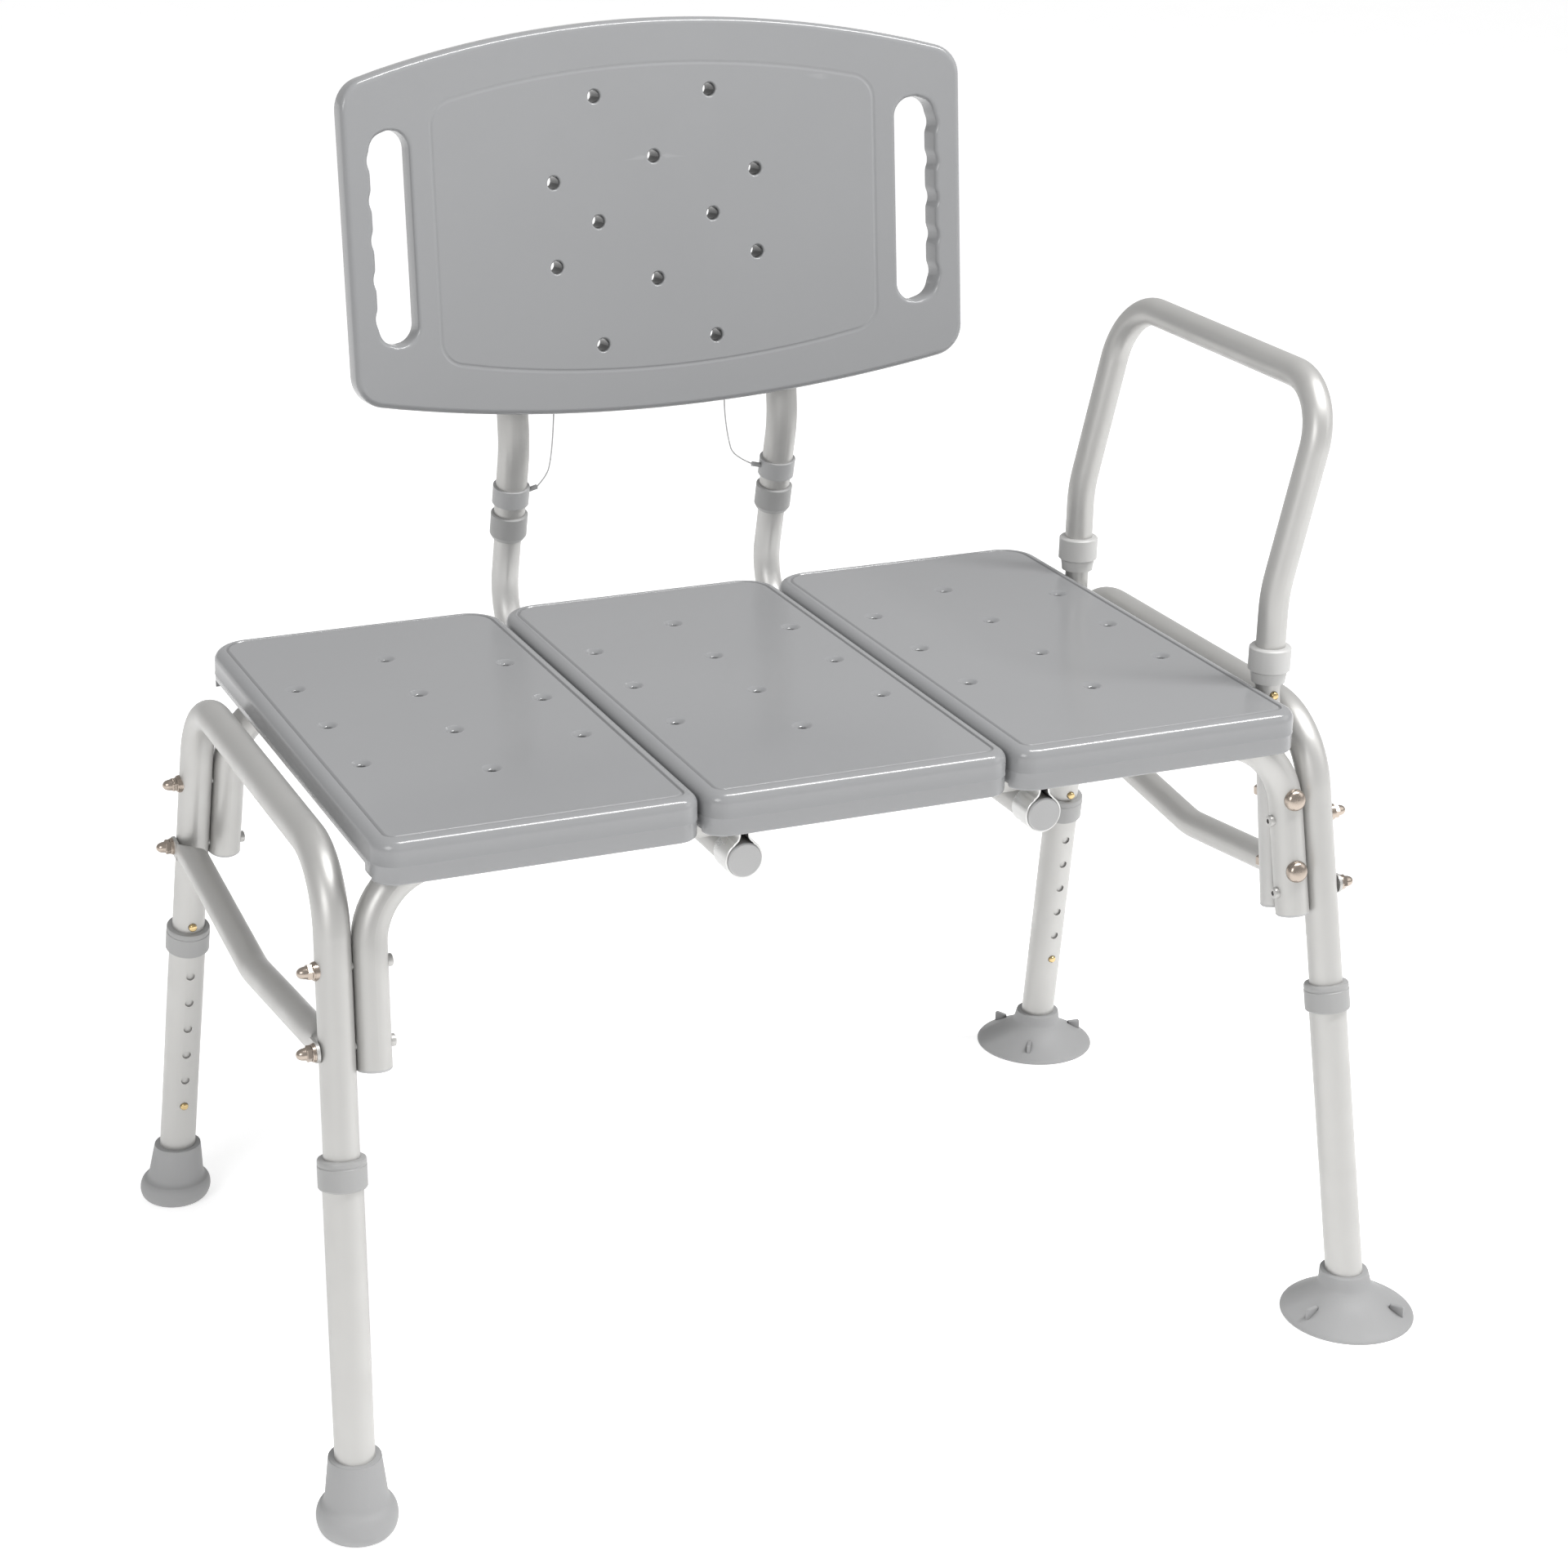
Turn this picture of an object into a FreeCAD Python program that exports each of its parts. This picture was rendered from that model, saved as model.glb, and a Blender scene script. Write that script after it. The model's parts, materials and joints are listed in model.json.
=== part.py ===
import FreeCAD, Part
import Sketcher
import math
import os

# Bath transfer bench.
# Working frame: X along the bench (the bath side is +X), Y from front to back, Z up from the floor.
# "drop" is a distance below the seat's top face; a negative drop is above it.

Vector = FreeCAD.Vector
doc = FreeCAD.newDocument("bath_transfer_bench")

# ---------------------------------------------------------------- driving dimensions (mm)
DIMENSIONS = [
    ("seat_height", 489.0), ("shift_x", 11.5), ("shift_y", 4.6),
    # tubes
    ("leg_tube_d", 25.4), ("rail_tube_d", 25.4), ("extension_d", 28.6), ("brace_tube_d", 22.2),
    ("bar_tube_d", 22.2), ("bar_post_d", 19.0), ("back_tube_d", 25.4), ("back_post_d", 22.2),
    ("tube_wall", 1.5), ("slide_clearance", 0.075),
    # leg frames: the axis of a leg at the seat's top face, and how it leans outwards per mm of drop
    ("leg_half_x", 380.9), ("leg_half_y", 166.7), ("leg_lean_x", 0.043), ("leg_lean_y", 0.1885),
    ("frame_bar_drop", 24.5), ("frame_bend", 60.0), ("leg_end_drop", 412.0),
    # rails with their turned-down ends
    ("rail_drop", 32.0), ("rail_bend", 55.0), ("stub_drop_front", 167.0), ("stub_drop_back", 159.0),
    ("stub_gap", 0.2),
    ("rail_cap_thickness", 2.0), ("rail_cap_plug", 4.0),
    # fasteners of the leg frames
    ("bolt_upper_drop", 96.0), ("bolt_lower_drop", 151.0), ("bolt_d", 6.0), ("bolt_hole_d", 6.3),
    ("bolt_head_d", 9.0), ("bolt_head_height", 3.3), ("nut_flats", 10.0), ("nut_hex_height", 5.0),
    ("nut_height", 12.0), ("nut_dome_d", 9.4), ("washer_d", 13.5), ("washer_thickness", 1.2),
    # braces
    ("brace_vertex_drop", 174.0), ("brace_bend", 70.0), ("tongue_thickness", 2.4),
    ("tongue_width", 15.0), ("tongue_length", 11.0), ("brace_flare", 17.0), ("tongue_gap", 0.5),
    # leg extensions, collars and snap buttons
    ("extension_top_drop", 229.5), ("foot_gap", 10.0), ("collar_d", 34.4), ("collar_height", 21.5),
    ("collar_lip", 4.0), ("hole_pitch", 25.4), ("hole_count", 6), ("lower_button_drop", 390.0),
    ("upper_button_drop", 220.0), ("button_d", 6.35), ("button_hole_d", 6.9), ("button_out", 3.0),
    ("button_in", 5.0), ("lower_button_out", 2.4),
    # seat panels
    ("seat_centre_x", -5.5), ("panel_pitch", 237.5), ("panel_width", 235.0), ("seat_front_y", -211.0),
    ("seat_back_y", 232.0), ("panel_thickness", 32.0), ("panel_relief", 3.5), ("panel_wall", 14.0),
    ("panel_side_relief", 9.0),
    ("panel_front_corner", 16.0), ("panel_back_corner", 30.0), ("panel_edge_round", 8.5),
    ("groove_margin", 9.0), ("groove_width", 2.0), ("groove_depth", 1.2),
    ("drain_d", 6.0), ("drain_row", 82.5), ("drain_column", 82.5), ("drain_centre_y", 18.8),
    ("rail_channel_play", 0.1), ("rail_channel_end", 10.0),
    # grab bar
    ("bar_x", 359.5), ("bar_half_y", 148.5), ("bar_centre_y", 3.0), ("bar_post_offset", 22.8),
    ("bar_post_end_drop", 168.5),
    ("bar_post_top", 58.0), ("bar_bottom", 3.0), ("bar_kink", 70.0), ("bar_top", 224.0),
    ("bar_lean", 0.225), ("bar_corner", 48.0), ("bar_kink_bend", 120.0), ("bar_post_bend", 55.0),
    ("bar_collar_d", 31.6), ("bar_collar_height", 28.0), ("bar_button_drop", 8.0),
    ("bar_bolt_upper_drop", 80.0), ("bar_bolt_lower_drop", 134.0), ("dome_d", 16.8),
    ("dome_height", 7.0), ("plain_nut_height", 5.0),
    # backrest carriers under the seat and posts behind it
    ("back_centre_x", 28.5), ("back_tube_half_x", 117.5), ("receiver_drop", 57.5),
    ("receiver_front_y", -195.0), ("receiver_back_y", 235.0), ("receiver_cap", 2.0),
    ("post_tail_y", 150.0), ("post_line_y", 305.02), ("post_lean", 0.2275), ("post_bend", 50.0),
    ("post_top", 95.0), ("back_tube_bottom", 38.0), ("back_tube_kink", 116.3),
    ("back_tube_top", 369.7), ("back_kink_bend", 80.0), ("back_collar_d", 30.2),
    ("back_collar_height", 24.0), ("clamp_wall", 1.5), ("clamp_width", 22.0), ("clamp_ear", 3.2),
    ("clamp_flange", 16.0),
    # backrest panel: its frame stands at the middle of the front face, leaning back
    ("back_y", 267.7), ("back_z", 295.2), ("recline_deg", 6.36), ("back_half_width", 259.5),
    ("back_top", 154.0), ("back_bottom", 152.0), ("back_side_top", 117.0), ("back_side_bottom", 124.0),
    ("back_thickness", 22.0), ("back_curve_radius", 1667.0), ("back_corner", 24.0),
    ("field_half_width", 188.0), ("field_top", 121.0), ("field_bottom", 120.0),
    ("field_side_top", 100.0), ("field_side_bottom", 100.0), ("field_corner", 20.0),
    ("field_groove", 3.0), ("field_groove_depth", 1.5),
    ("inner_half_width", "=field_half_width - field_groove"), ("inner_top", "=field_top - field_groove"),
    ("inner_bottom", "=field_bottom - field_groove"), ("inner_side_top", "=field_side_top - field_groove"),
    ("inner_side_bottom", "=field_side_bottom - field_groove"),
    ("slot_inner", 205.0), ("slot_outer", 238.0), ("slot_half_height", 82.0), ("slot_corner", 15.5),
    ("finger_r", 14.0), ("finger_pitch", 30.0), ("finger_x", 226.0), ("back_hole_d", 10.0),
    # locking clips and their tethers
    ("clip_height", 15.0), ("clip_wall", 2.2), ("clip_z", 75.0), ("tether_d", 1.2), ("hook_d", 4.0),
    # feet
    ("tip_height", 53.0), ("cup_height", 35.0), ("cup_dish_depth", 8.0),
]

sheet = doc.addObject("Spreadsheet::Sheet", "dims")
for row, (alias, value) in enumerate(DIMENSIONS, start=1):
    sheet.set("A%d" % row, str(value))
    sheet.setAlias("A%d" % row, alias)
doc.recompute()

SIDES = {"left": -1, "right": 1}
ENDS = {"front": -1, "back": 1}
CUP_TABS = {"front": (72, 192, 312), "back": (115, 235, 355)}
nodes = []


def size(alias):
    return float(sheet.get(alias))


def point(x, y, drop):
    """A point of the bench in the part's frame."""
    return Vector(x - size("shift_x"), y - size("shift_y"), size("seat_height") - drop)


def leg_point(side, end, drop, inset=0.0):
    x = size("leg_half_x") + size("leg_lean_x") * drop - inset
    y = size("leg_half_y") + size("leg_lean_y") * drop
    return point(side * x, end * y, drop)


def stub_drop(end):
    return size("stub_drop_front" if end < 0 else "stub_drop_back")


LEG_STRETCH = math.sqrt(1 + size("leg_lean_x") ** 2 + size("leg_lean_y") ** 2)
STUB_INSET = (size("leg_tube_d") + size("rail_tube_d")) / 2 + size("stub_gap")


# ---------------------------------------------------------------- helpers
def keep(obj, label):
    """Name an object after its node and list it for export."""
    obj.Label = label
    nodes.append(obj)
    return obj


def rotation(z_axis, y_hint):
    """A rotation whose Z is z_axis and whose Y lies as near y_hint as it can."""
    z = Vector(z_axis).normalize()
    y = (Vector(y_hint) - z * z.dot(Vector(y_hint))).normalize()
    return FreeCAD.Rotation(y.cross(z), y, z, "ZYX")


def new_body(name):
    body = doc.addObject("PartDesign::Body", name)
    body.Label = name
    return body


def new_sketch(body, role, name):
    plane = [f for f in body.Origin.OriginFeatures if f.Role == role][0]
    sketch = body.newObject("Sketcher::SketchObject", name)
    sketch.AttachmentSupport = [(plane, "")]
    sketch.MapMode = "FlatFace"
    return sketch


def pin(sketch, geometry, position, x, y):
    """Fix a vertex at (x, y), given as expressions; either may be "0" for an axis."""
    here = sketch.getPoint(geometry, position)
    for kind, expression, axis, value in (("DistanceX", x, -2, here.x), ("DistanceY", y, -1, here.y)):
        if expression == "0":
            sketch.addConstraint(Sketcher.Constraint("PointOnObject", geometry, position, axis))
        else:
            index = sketch.addConstraint(Sketcher.Constraint(kind, -1, 1, geometry, position, value))
            sketch.setExpression("Constraints[%d]" % index, expression)


def polygon(sketch, points):
    """A closed outline of straight lines through points given as expressions."""
    first = sketch.GeometryCount
    count = len(points)
    for i in range(count):
        j = (i + 1) % count
        start, end = Vector(10 + 7 * i, 5 + i * i, 0), Vector(10 + 7 * j, 5 + j * j, 0)
        sketch.addGeometry(Part.LineSegment(start, end))
    for i in range(count):
        sketch.addConstraint(Sketcher.Constraint("Coincident", first + i, 2, first + (i + 1) % count, 1))
    for i, (x, y) in enumerate(points):
        pin(sketch, first + i, 1, x, y)


def circle(sketch, x, y, radius):
    geometry = sketch.addGeometry(Part.Circle(Vector(1, 1, 0), Vector(0, 0, 1), 5))
    pin(sketch, geometry, 3, x, y)
    index = sketch.addConstraint(Sketcher.Constraint("Radius", geometry, 5.0))
    sketch.setExpression("Constraints[%d]" % index, radius)


def rectangle(sketch, left, right, low, high):
    polygon(sketch, [(left, low), (right, low), (right, high), (left, high)])


def revolve(body, profile, name="turning"):
    """Turn a profile of (radius, height) expressions about the body's Z axis."""
    sketch = new_sketch(body, "XZ_Plane", body.Name + "_" + name)
    polygon(sketch, profile)
    turning = body.newObject("PartDesign::Revolution", body.Name + "_" + name + "_solid")
    turning.Profile = sketch
    turning.ReferenceAxis = (sketch, ["V_Axis"])
    turning.Angle = 360
    return turning


def pad(body, sketch, length, reverse=False, midplane=False):
    feature = body.newObject("PartDesign::Pad", sketch.Name + "_pad")
    feature.Profile = sketch
    feature.setExpression("Length", length)
    feature.Reversed = reverse
    feature.Midplane = midplane
    return feature


def pocket(body, sketch, length=None, reverse=False, midplane=False):
    feature = body.newObject("PartDesign::Pocket", sketch.Name + "_pocket")
    feature.Profile = sketch
    if length is None:
        feature.Type = 1
    else:
        feature.setExpression("Length", length)
    feature.Reversed = reverse
    feature.Midplane = midplane
    return feature


def round_edges(body, feature, radius, chosen):
    """Fillet the edges of a feature that a test picks."""
    doc.recompute()
    names = ["Edge%d" % (i + 1) for i, edge in enumerate(feature.Shape.Edges) if chosen(edge)]
    fillet = body.newObject("PartDesign::Fillet", feature.Name + "_round")
    fillet.Base = (feature, names)
    fillet.setExpression("Radius", radius)
    return fillet


def cylinder(name, base, direction, radius, height):
    """A Part cylinder from base along direction; radius and height are expressions."""
    obj = doc.addObject("Part::Cylinder", name)
    obj.setExpression("Radius", radius)
    obj.setExpression("Height", height)
    hint = Vector(0, 1, 0) if abs(direction.normalize().y) < 0.9 else Vector(1, 0, 0)
    obj.Placement = FreeCAD.Placement(base, rotation(direction, hint))
    return obj


def box(name, corner, length, width, height, turn=None):
    obj = doc.addObject("Part::Box", name)
    for prop, expression in (("Length", length), ("Width", width), ("Height", height)):
        obj.setExpression(prop, expression)
    obj.Placement = FreeCAD.Placement(corner, turn or FreeCAD.Rotation())
    return obj


def fuse(name, shapes):
    if len(shapes) == 1:
        return shapes[0]
    obj = doc.addObject("Part::MultiFuse", name)
    obj.Shapes = shapes
    return obj


def cut(name, base, tools):
    obj = doc.addObject("Part::Cut", name)
    obj.Base = base
    obj.Tool = fuse(name + "_tools", tools)
    return obj


def common(name, base, tool):
    obj = doc.addObject("Part::Common", name)
    obj.Base = base
    obj.Tool = tool
    return obj


def bent_path(name, points, bends):
    """Straight runs joined by tangent arcs of the given radii."""
    edges = []
    start = points[0]
    for i, radius in enumerate(bends, start=1):
        back = (points[i - 1] - points[i]).normalize()
        ahead = (points[i + 1] - points[i]).normalize()
        half = back.getAngle(ahead) / 2
        reach = radius / math.tan(half)
        first = points[i] + back * reach
        last = points[i] + ahead * reach
        middle = points[i] + (back + ahead).normalize() * (radius / math.sin(half) - radius)
        edges.append(Part.LineSegment(start, first).toShape())
        edges.append(Part.Arc(first, middle, last).toShape())
        start = last
    edges.append(Part.LineSegment(start, points[-1]).toShape())
    path = doc.addObject("Part::Feature", name)
    path.Shape = Part.Wire(edges)
    return path


def sweep(name, path, radius):
    """A round bar along a path; radius is an expression."""
    section = doc.addObject("Part::Circle", name + "_section")
    section.setExpression("Radius", radius)
    start = path.Shape.Edges[0]
    along = start.tangentAt(start.FirstParameter)
    hint = Vector(0, 0, 1) if abs(along.z) < 0.9 else Vector(1, 0, 0)
    section.Placement = FreeCAD.Placement(start.valueAt(start.FirstParameter), rotation(along, hint))
    obj = doc.addObject("Part::Sweep", name)
    obj.Sections = [section]
    obj.Spine = (path, ["Edge%d" % (i + 1) for i in range(len(path.Shape.Edges))])
    obj.Solid = True
    return obj


def bent_tube(name, points, bends, outer_d, inner_d):
    """A bent tube; the two diameters are expressions."""
    path = bent_path(name + "_path", points, bends)
    outside = sweep(name + "_outside", path, outer_d + " / 2")
    inside = sweep(name + "_bore", path, inner_d + " / 2")
    return cut(name + "_tube", outside, [inside])


def copies(label, master, placements):
    """One node that holds a separate solid of the master at each placement."""
    doc.recompute()
    solids = []
    for placement in placements:
        shape = master.Shape.copy()
        shape.Placement = placement.multiply(master.Shape.Placement)
        solids.append(shape)
    group = doc.addObject("Part::Feature", label)
    group.Shape = Part.makeCompound(solids)
    return keep(group, label)


# ---------------------------------------------------------------- seat
def seat_panel(label, index):
    """A moulded panel: rounded slab, edge groove, drain holes, rail channels, corner feet."""
    body = new_body(label + "_slab")
    half = "dims.panel_width / 2"
    plan = new_sketch(body, "XY_Plane", label + "_plan")
    rectangle(plan, "-" + half, half, "dims.seat_front_y", "dims.seat_back_y")
    slab = pad(body, plan, "dims.panel_thickness", reverse=True)

    def upright(edge, low, high):
        a, b = edge.Vertexes[0].Point, edge.Vertexes[-1].Point
        return abs(a.z - b.z) > 5 and low < a.y < high

    front = round_edges(body, slab, "dims.panel_front_corner", lambda e: upright(e, -1000, 0))
    back = round_edges(body, front, "dims.panel_back_corner", lambda e: upright(e, 200, 1000))
    top = round_edges(body, back, "dims.panel_edge_round",
                      lambda e: all(abs(v.Point.z) < 0.01 for v in e.Vertexes))
    doc.recompute()

    ring = new_sketch(body, "XY_Plane", label + "_groove")
    for margin in ("dims.groove_margin", "(dims.groove_margin + dims.groove_width)"):
        rectangle(ring, "-%s + %s" % (half, margin), "%s - %s" % (half, margin),
                  "dims.seat_front_y + " + margin, "dims.seat_back_y - " + margin)
    pocket(body, ring, "dims.groove_depth")

    drains = new_sketch(body, "XY_Plane", label + "_drains")
    for column, rows in ((-1, (-1, 0, 1)), (0, (-1.5, -0.5, 0.5, 1.5)), (1, (-1, 0, 1))):
        for step in rows:
            x = "0" if column == 0 else "%g * dims.drain_column" % column
            circle(drains, x, "dims.drain_centre_y + %g * dims.drain_row" % step, "dims.drain_d / 2")
    pocket(body, drains)
    body.Placement.Base = point(size("seat_centre_x") + index * size("panel_pitch"), 0, 0)

    # the underside is hollowed between its front and back walls and rides on both rails
    left = size("seat_centre_x") + index * size("panel_pitch") - size("panel_width") / 2
    low = size("panel_thickness")
    tools = [box(label + "_relief", point(left - 1, size("seat_front_y") + size("panel_wall"), low),
                 "dims.panel_width + 2", "dims.seat_back_y - dims.seat_front_y - 2 * dims.panel_wall",
                 "dims.panel_relief")]
    if index:
        # the wall at the bench's end is shallower than the front and back walls
        edge = left - 1 if index < 0 else left + size("panel_width") - size("panel_wall")
        tools.append(box(label + "_side_relief", point(edge, size("seat_front_y") + size("panel_wall"), low),
                         "dims.panel_wall + 1", "dims.seat_back_y - dims.seat_front_y - 2 * dims.panel_wall",
                         "dims.panel_side_relief"))
    # an outer panel's channels stop short of the bench's end, where the rails have turned down
    start = left + (size("rail_channel_end") if index < 0 else -1)
    reach = "dims.panel_width + 2" if index == 0 else "dims.panel_width - dims.rail_channel_end + 1"
    for end in ENDS.values():
        y = end * (size("leg_half_y") + size("leg_lean_y") * size("rail_drop"))
        tools.append(cylinder("%s_channel_%d" % (label, end), point(start, y, size("rail_drop")),
                              Vector(1, 0, 0), "dims.rail_tube_d / 2 + dims.rail_channel_play", reach))
    return keep(cut(label, body, tools), label)


# ---------------------------------------------------------------- rails and leg frames
def rail(label, end):
    """A tube along the bench whose ends turn down beside the legs."""
    def place(side, drop):
        return leg_point(side, end, drop, STUB_INSET)
    corners = [place(-1, stub_drop(end)), place(-1, size("rail_drop")),
               place(1, size("rail_drop")), place(1, stub_drop(end))]
    tube = bent_tube(label, corners, [size("rail_bend")] * 2, "dims.rail_tube_d",
                     "(dims.rail_tube_d - 2 * dims.tube_wall)")
    tools = []
    for side in SIDES.values():
        for drop in (size("bolt_upper_drop"), size("bolt_lower_drop")):
            start = place(side, drop) - Vector(20, 0, 0)
            tools.append(cylinder("%s_bolt_hole" % label, start, Vector(1, 0, 0),
                                  "dims.bolt_hole_d / 2", "40"))
    for drop in (size("bar_bolt_upper_drop"), size("bar_bolt_lower_drop")):
        outward = bar_bolt_direction(end)
        tools.append(cylinder("%s_bar_hole" % label, bar_bolt_centre(end, drop) - outward * 20, outward,
                              "dims.bolt_hole_d / 2", "40"))
    return keep(cut(label, tube, tools), label)


def bar_bolt_direction(end):
    """Square to the leg, pointing away from the middle of the bench."""
    return Vector(0, end, size("leg_lean_y")).normalize()


def bar_bolt_centre(end, drop):
    """Where a grab bar bolt crosses the middle of a stub: in line with the post, square to X."""
    stub = leg_point(1, end, drop, STUB_INSET)
    return Vector(size("bar_x") - size("shift_x"), stub.y, stub.z)


def leg_frame(label, side):
    """An upside-down U whose legs carry the extensions."""
    corners = [leg_point(side, 1, size("leg_end_drop")), leg_point(side, 1, size("frame_bar_drop")),
               leg_point(side, -1, size("frame_bar_drop")), leg_point(side, -1, size("leg_end_drop"))]
    tube = bent_tube(label, corners, [size("frame_bend")] * 2, "dims.leg_tube_d",
                     "(dims.leg_tube_d - 2 * dims.tube_wall)")
    tools = []
    for end in ENDS.values():
        for drop in (size("bolt_upper_drop"), size("bolt_lower_drop")):
            tools.append(cylinder(label + "_bolt_hole", leg_point(side, end, drop) - Vector(20, 0, 0),
                                  Vector(1, 0, 0), "dims.bolt_hole_d / 2", "40"))
        turn = leg_rotation(side, end)
        inward = turn.multVec(Vector(0, -1, 0))
        tools.append(cylinder(label + "_button_hole", leg_point(side, end, size("upper_button_drop")),
                              inward, "dims.button_hole_d / 2", "20"))
        # the lower button's hole runs out through the end of the leg
        half = size("button_hole_d") / 2
        corner = leg_point(side, end, size("leg_end_drop") + 2) + turn.multVec(Vector(-half, -20, 0))
        tools.append(box(label + "_button_slot", corner, "dims.button_hole_d", "20",
                         "dims.leg_end_drop - dims.lower_button_drop + 8", turn))
    return keep(cut(label, tube, tools), label)


def leg_rotation(side, end):
    """A leg's own frame: Z up the leg, -Y towards the middle of the bench."""
    up = Vector(-side * size("leg_lean_x"), -end * size("leg_lean_y"), 1)
    return rotation(up, Vector(0, end, 0))


# ---------------------------------------------------------------- braces
def brace(label, side):
    """A bent tube with flattened ends, bolted to the outer side of both legs."""
    drop = size("bolt_lower_drop")
    leg_x = size("leg_half_x") + size("leg_lean_x") * drop + size("leg_tube_d") / 2
    tongue_x = leg_x + size("tongue_gap")
    tube_x = tongue_x + size("tongue_thickness") - size("brace_tube_d") / 2
    leg_y = size("leg_half_y") + size("leg_lean_y") * drop

    def place(x, end, drop_at, y):
        return point(side * x, end * y, drop_at)

    vertex = place(tube_x, 1, size("brace_vertex_drop"), 0)
    starts, pieces = [], []
    reach = size("tongue_length") + size("brace_flare")
    for end in ENDS.values():
        bolt = place(tube_x, end, drop, leg_y)
        along = (vertex - bolt).normalize()
        starts.append(bolt + along * reach)
        turn = rotation(along, Vector(1, 0, 0))
        ellipse = doc.addObject("Part::Ellipse", label + "_flat")
        ellipse.setExpression("MajorRadius", "dims.tongue_width / 2")
        ellipse.setExpression("MinorRadius", "dims.tongue_thickness / 2")
        middle_x = tongue_x + size("tongue_thickness") / 2
        flat = bolt + along * size("tongue_length") + Vector(side * (middle_x - tube_x), 0, 0)
        ellipse.Placement = FreeCAD.Placement(flat, turn)
        ring = doc.addObject("Part::Circle", label + "_round")
        ring.setExpression("Radius", "dims.brace_tube_d / 2")
        ring.Placement = FreeCAD.Placement(starts[-1], turn)
        flare = doc.addObject("Part::Loft", label + "_flare")
        flare.Sections = [ellipse, ring]
        flare.Solid = True
        flare.Ruled = True
        tongue_base = place(tongue_x, end, drop, leg_y)
        eye = cylinder(label + "_eye", tongue_base, Vector(side, 0, 0),
                       "dims.tongue_width / 2", "dims.tongue_thickness")
        across = turn.multVec(Vector(1, 0, 0))
        corner = tongue_base - across * (size("tongue_width") / 2)
        if side < 0:
            corner = corner - Vector(size("tongue_thickness"), 0, 0)
        tongue = box(label + "_tongue", corner, "dims.tongue_width", "dims.tongue_thickness",
                     "dims.tongue_length", turn)
        pieces += [flare, eye, tongue]
    tube = bent_tube(label, [starts[0], vertex, starts[1]], [size("brace_bend")],
                     "dims.brace_tube_d", "(dims.brace_tube_d - 2 * dims.tube_wall)")
    whole = fuse(label + "_whole", [tube] + pieces)
    holes = []
    for end in ENDS.values():
        start = place(tongue_x - 2, end, drop, leg_y)
        holes.append(cylinder(label + "_hole", start, Vector(side, 0, 0), "dims.bolt_hole_d / 2", "8"))
    return keep(cut(label, whole, holes), label)


# ---------------------------------------------------------------- frame fasteners
def frame_fasteners():
    """Bolts through stub and leg, washers and acorn nuts outside."""
    nut = new_body("acorn_nut_master")
    hexagon = new_sketch(nut, "XY_Plane", "acorn_nut_hexagon")
    across, point_out = "dims.nut_flats / 2", "dims.nut_flats / sqrt(3)"
    half_point = "dims.nut_flats / sqrt(3) / 2"
    polygon(hexagon, [(point_out, "0"), (half_point, across), ("-" + half_point, across),
                      ("-" + point_out, "0"), ("-" + half_point, "-" + across), (half_point, "-" + across)])
    pad(nut, hexagon, "dims.nut_hex_height")
    low, top, radius = "dims.nut_hex_height", "dims.nut_height", "dims.nut_dome_d / 2"
    revolve(nut, [("0", low + " - 1"), (radius, low + " - 1"), (radius, low + " + 2"),
                  (radius + " * 0.92", low + " + 3.8"), (radius + " * 0.7", top + " - 1.4"),
                  (radius + " * 0.38", top + " - 0.3"), ("0", top)], "dome")
    bore = new_sketch(nut, "XY_Plane", "acorn_nut_bore")
    circle(bore, "0", "0", "dims.bolt_d / 2 + 0.02")
    pocket(nut, bore, "dims.nut_height - 3", reverse=True)

    nut_places, bolts, saddles, flats = [], [], [], []
    for side in SIDES.values():
        for end in ENDS.values():
            for name in ("bolt_upper_drop", "bolt_lower_drop"):
                drop = size(name)
                outer = leg_point(side, end, drop) + Vector(side * size("leg_tube_d") / 2, 0, 0)
                if name == "bolt_lower_drop":
                    outer += Vector(side * (size("tongue_gap") + size("tongue_thickness")), 0, 0)
                washer = "washer_%d_%d_%s" % (side, end, name)
                deep = 4 if name == "bolt_upper_drop" else 0
                disc = cylinder(washer, outer - Vector(side * deep, 0, 0), Vector(side, 0, 0),
                                "dims.washer_d / 2", "dims.washer_thickness + %d" % deep)
                hole = cylinder(washer + "_hole", outer - Vector(side * 6, 0, 0), Vector(side, 0, 0),
                                "dims.bolt_d / 2 + 0.05", "12")
                tools = [hole]
                if deep:
                    below = leg_point(side, end, drop + 30)
                    up = leg_point(side, end, drop - 30) - below
                    tools.append(cylinder(washer + "_leg", below, up, "dims.leg_tube_d / 2", "70"))
                ring = cut(washer + "_ring", disc, tools)
                (saddles if deep else flats).append(ring)
                seat = outer + Vector(side * size("washer_thickness"), 0, 0)
                nut_places.append(FreeCAD.Placement(seat, rotation(Vector(side, 0, 0), Vector(0, 0, 1))))
                head = leg_point(side, end, drop, STUB_INSET) - Vector(side * size("rail_tube_d") / 2, 0, 0)
                reach = (seat - head).Length + 7
                shank = cylinder("frame_bolt_shank", head, Vector(side, 0, 0), "dims.bolt_d / 2",
                                 "%.3f" % reach)
                disc_head = cylinder("frame_bolt_disc", head + Vector(side, 0, 0), Vector(-side, 0, 0),
                                     "dims.bolt_head_d / 2", "dims.bolt_head_height + 1")
                hugging = cut("frame_bolt_head", disc_head, [stub_space(side, end, drop)])
                bolts.append(fuse("frame_bolt_%d_%d_%s" % (side, end, name), [shank, hugging]))
    copies("acorn_nuts", nut, nut_places)
    group_node("frame_bolts", bolts)
    group_node("saddle_washers", saddles)
    group_node("flat_washers", flats)


def stub_space(side, end, drop):
    """The space a turned-down rail end takes near a drop."""
    below = leg_point(side, end, drop + 30, STUB_INSET)
    up = leg_point(side, end, drop - 30, STUB_INSET) - below
    return cylinder("stub_space", below, up, "dims.rail_tube_d / 2", "62")


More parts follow.
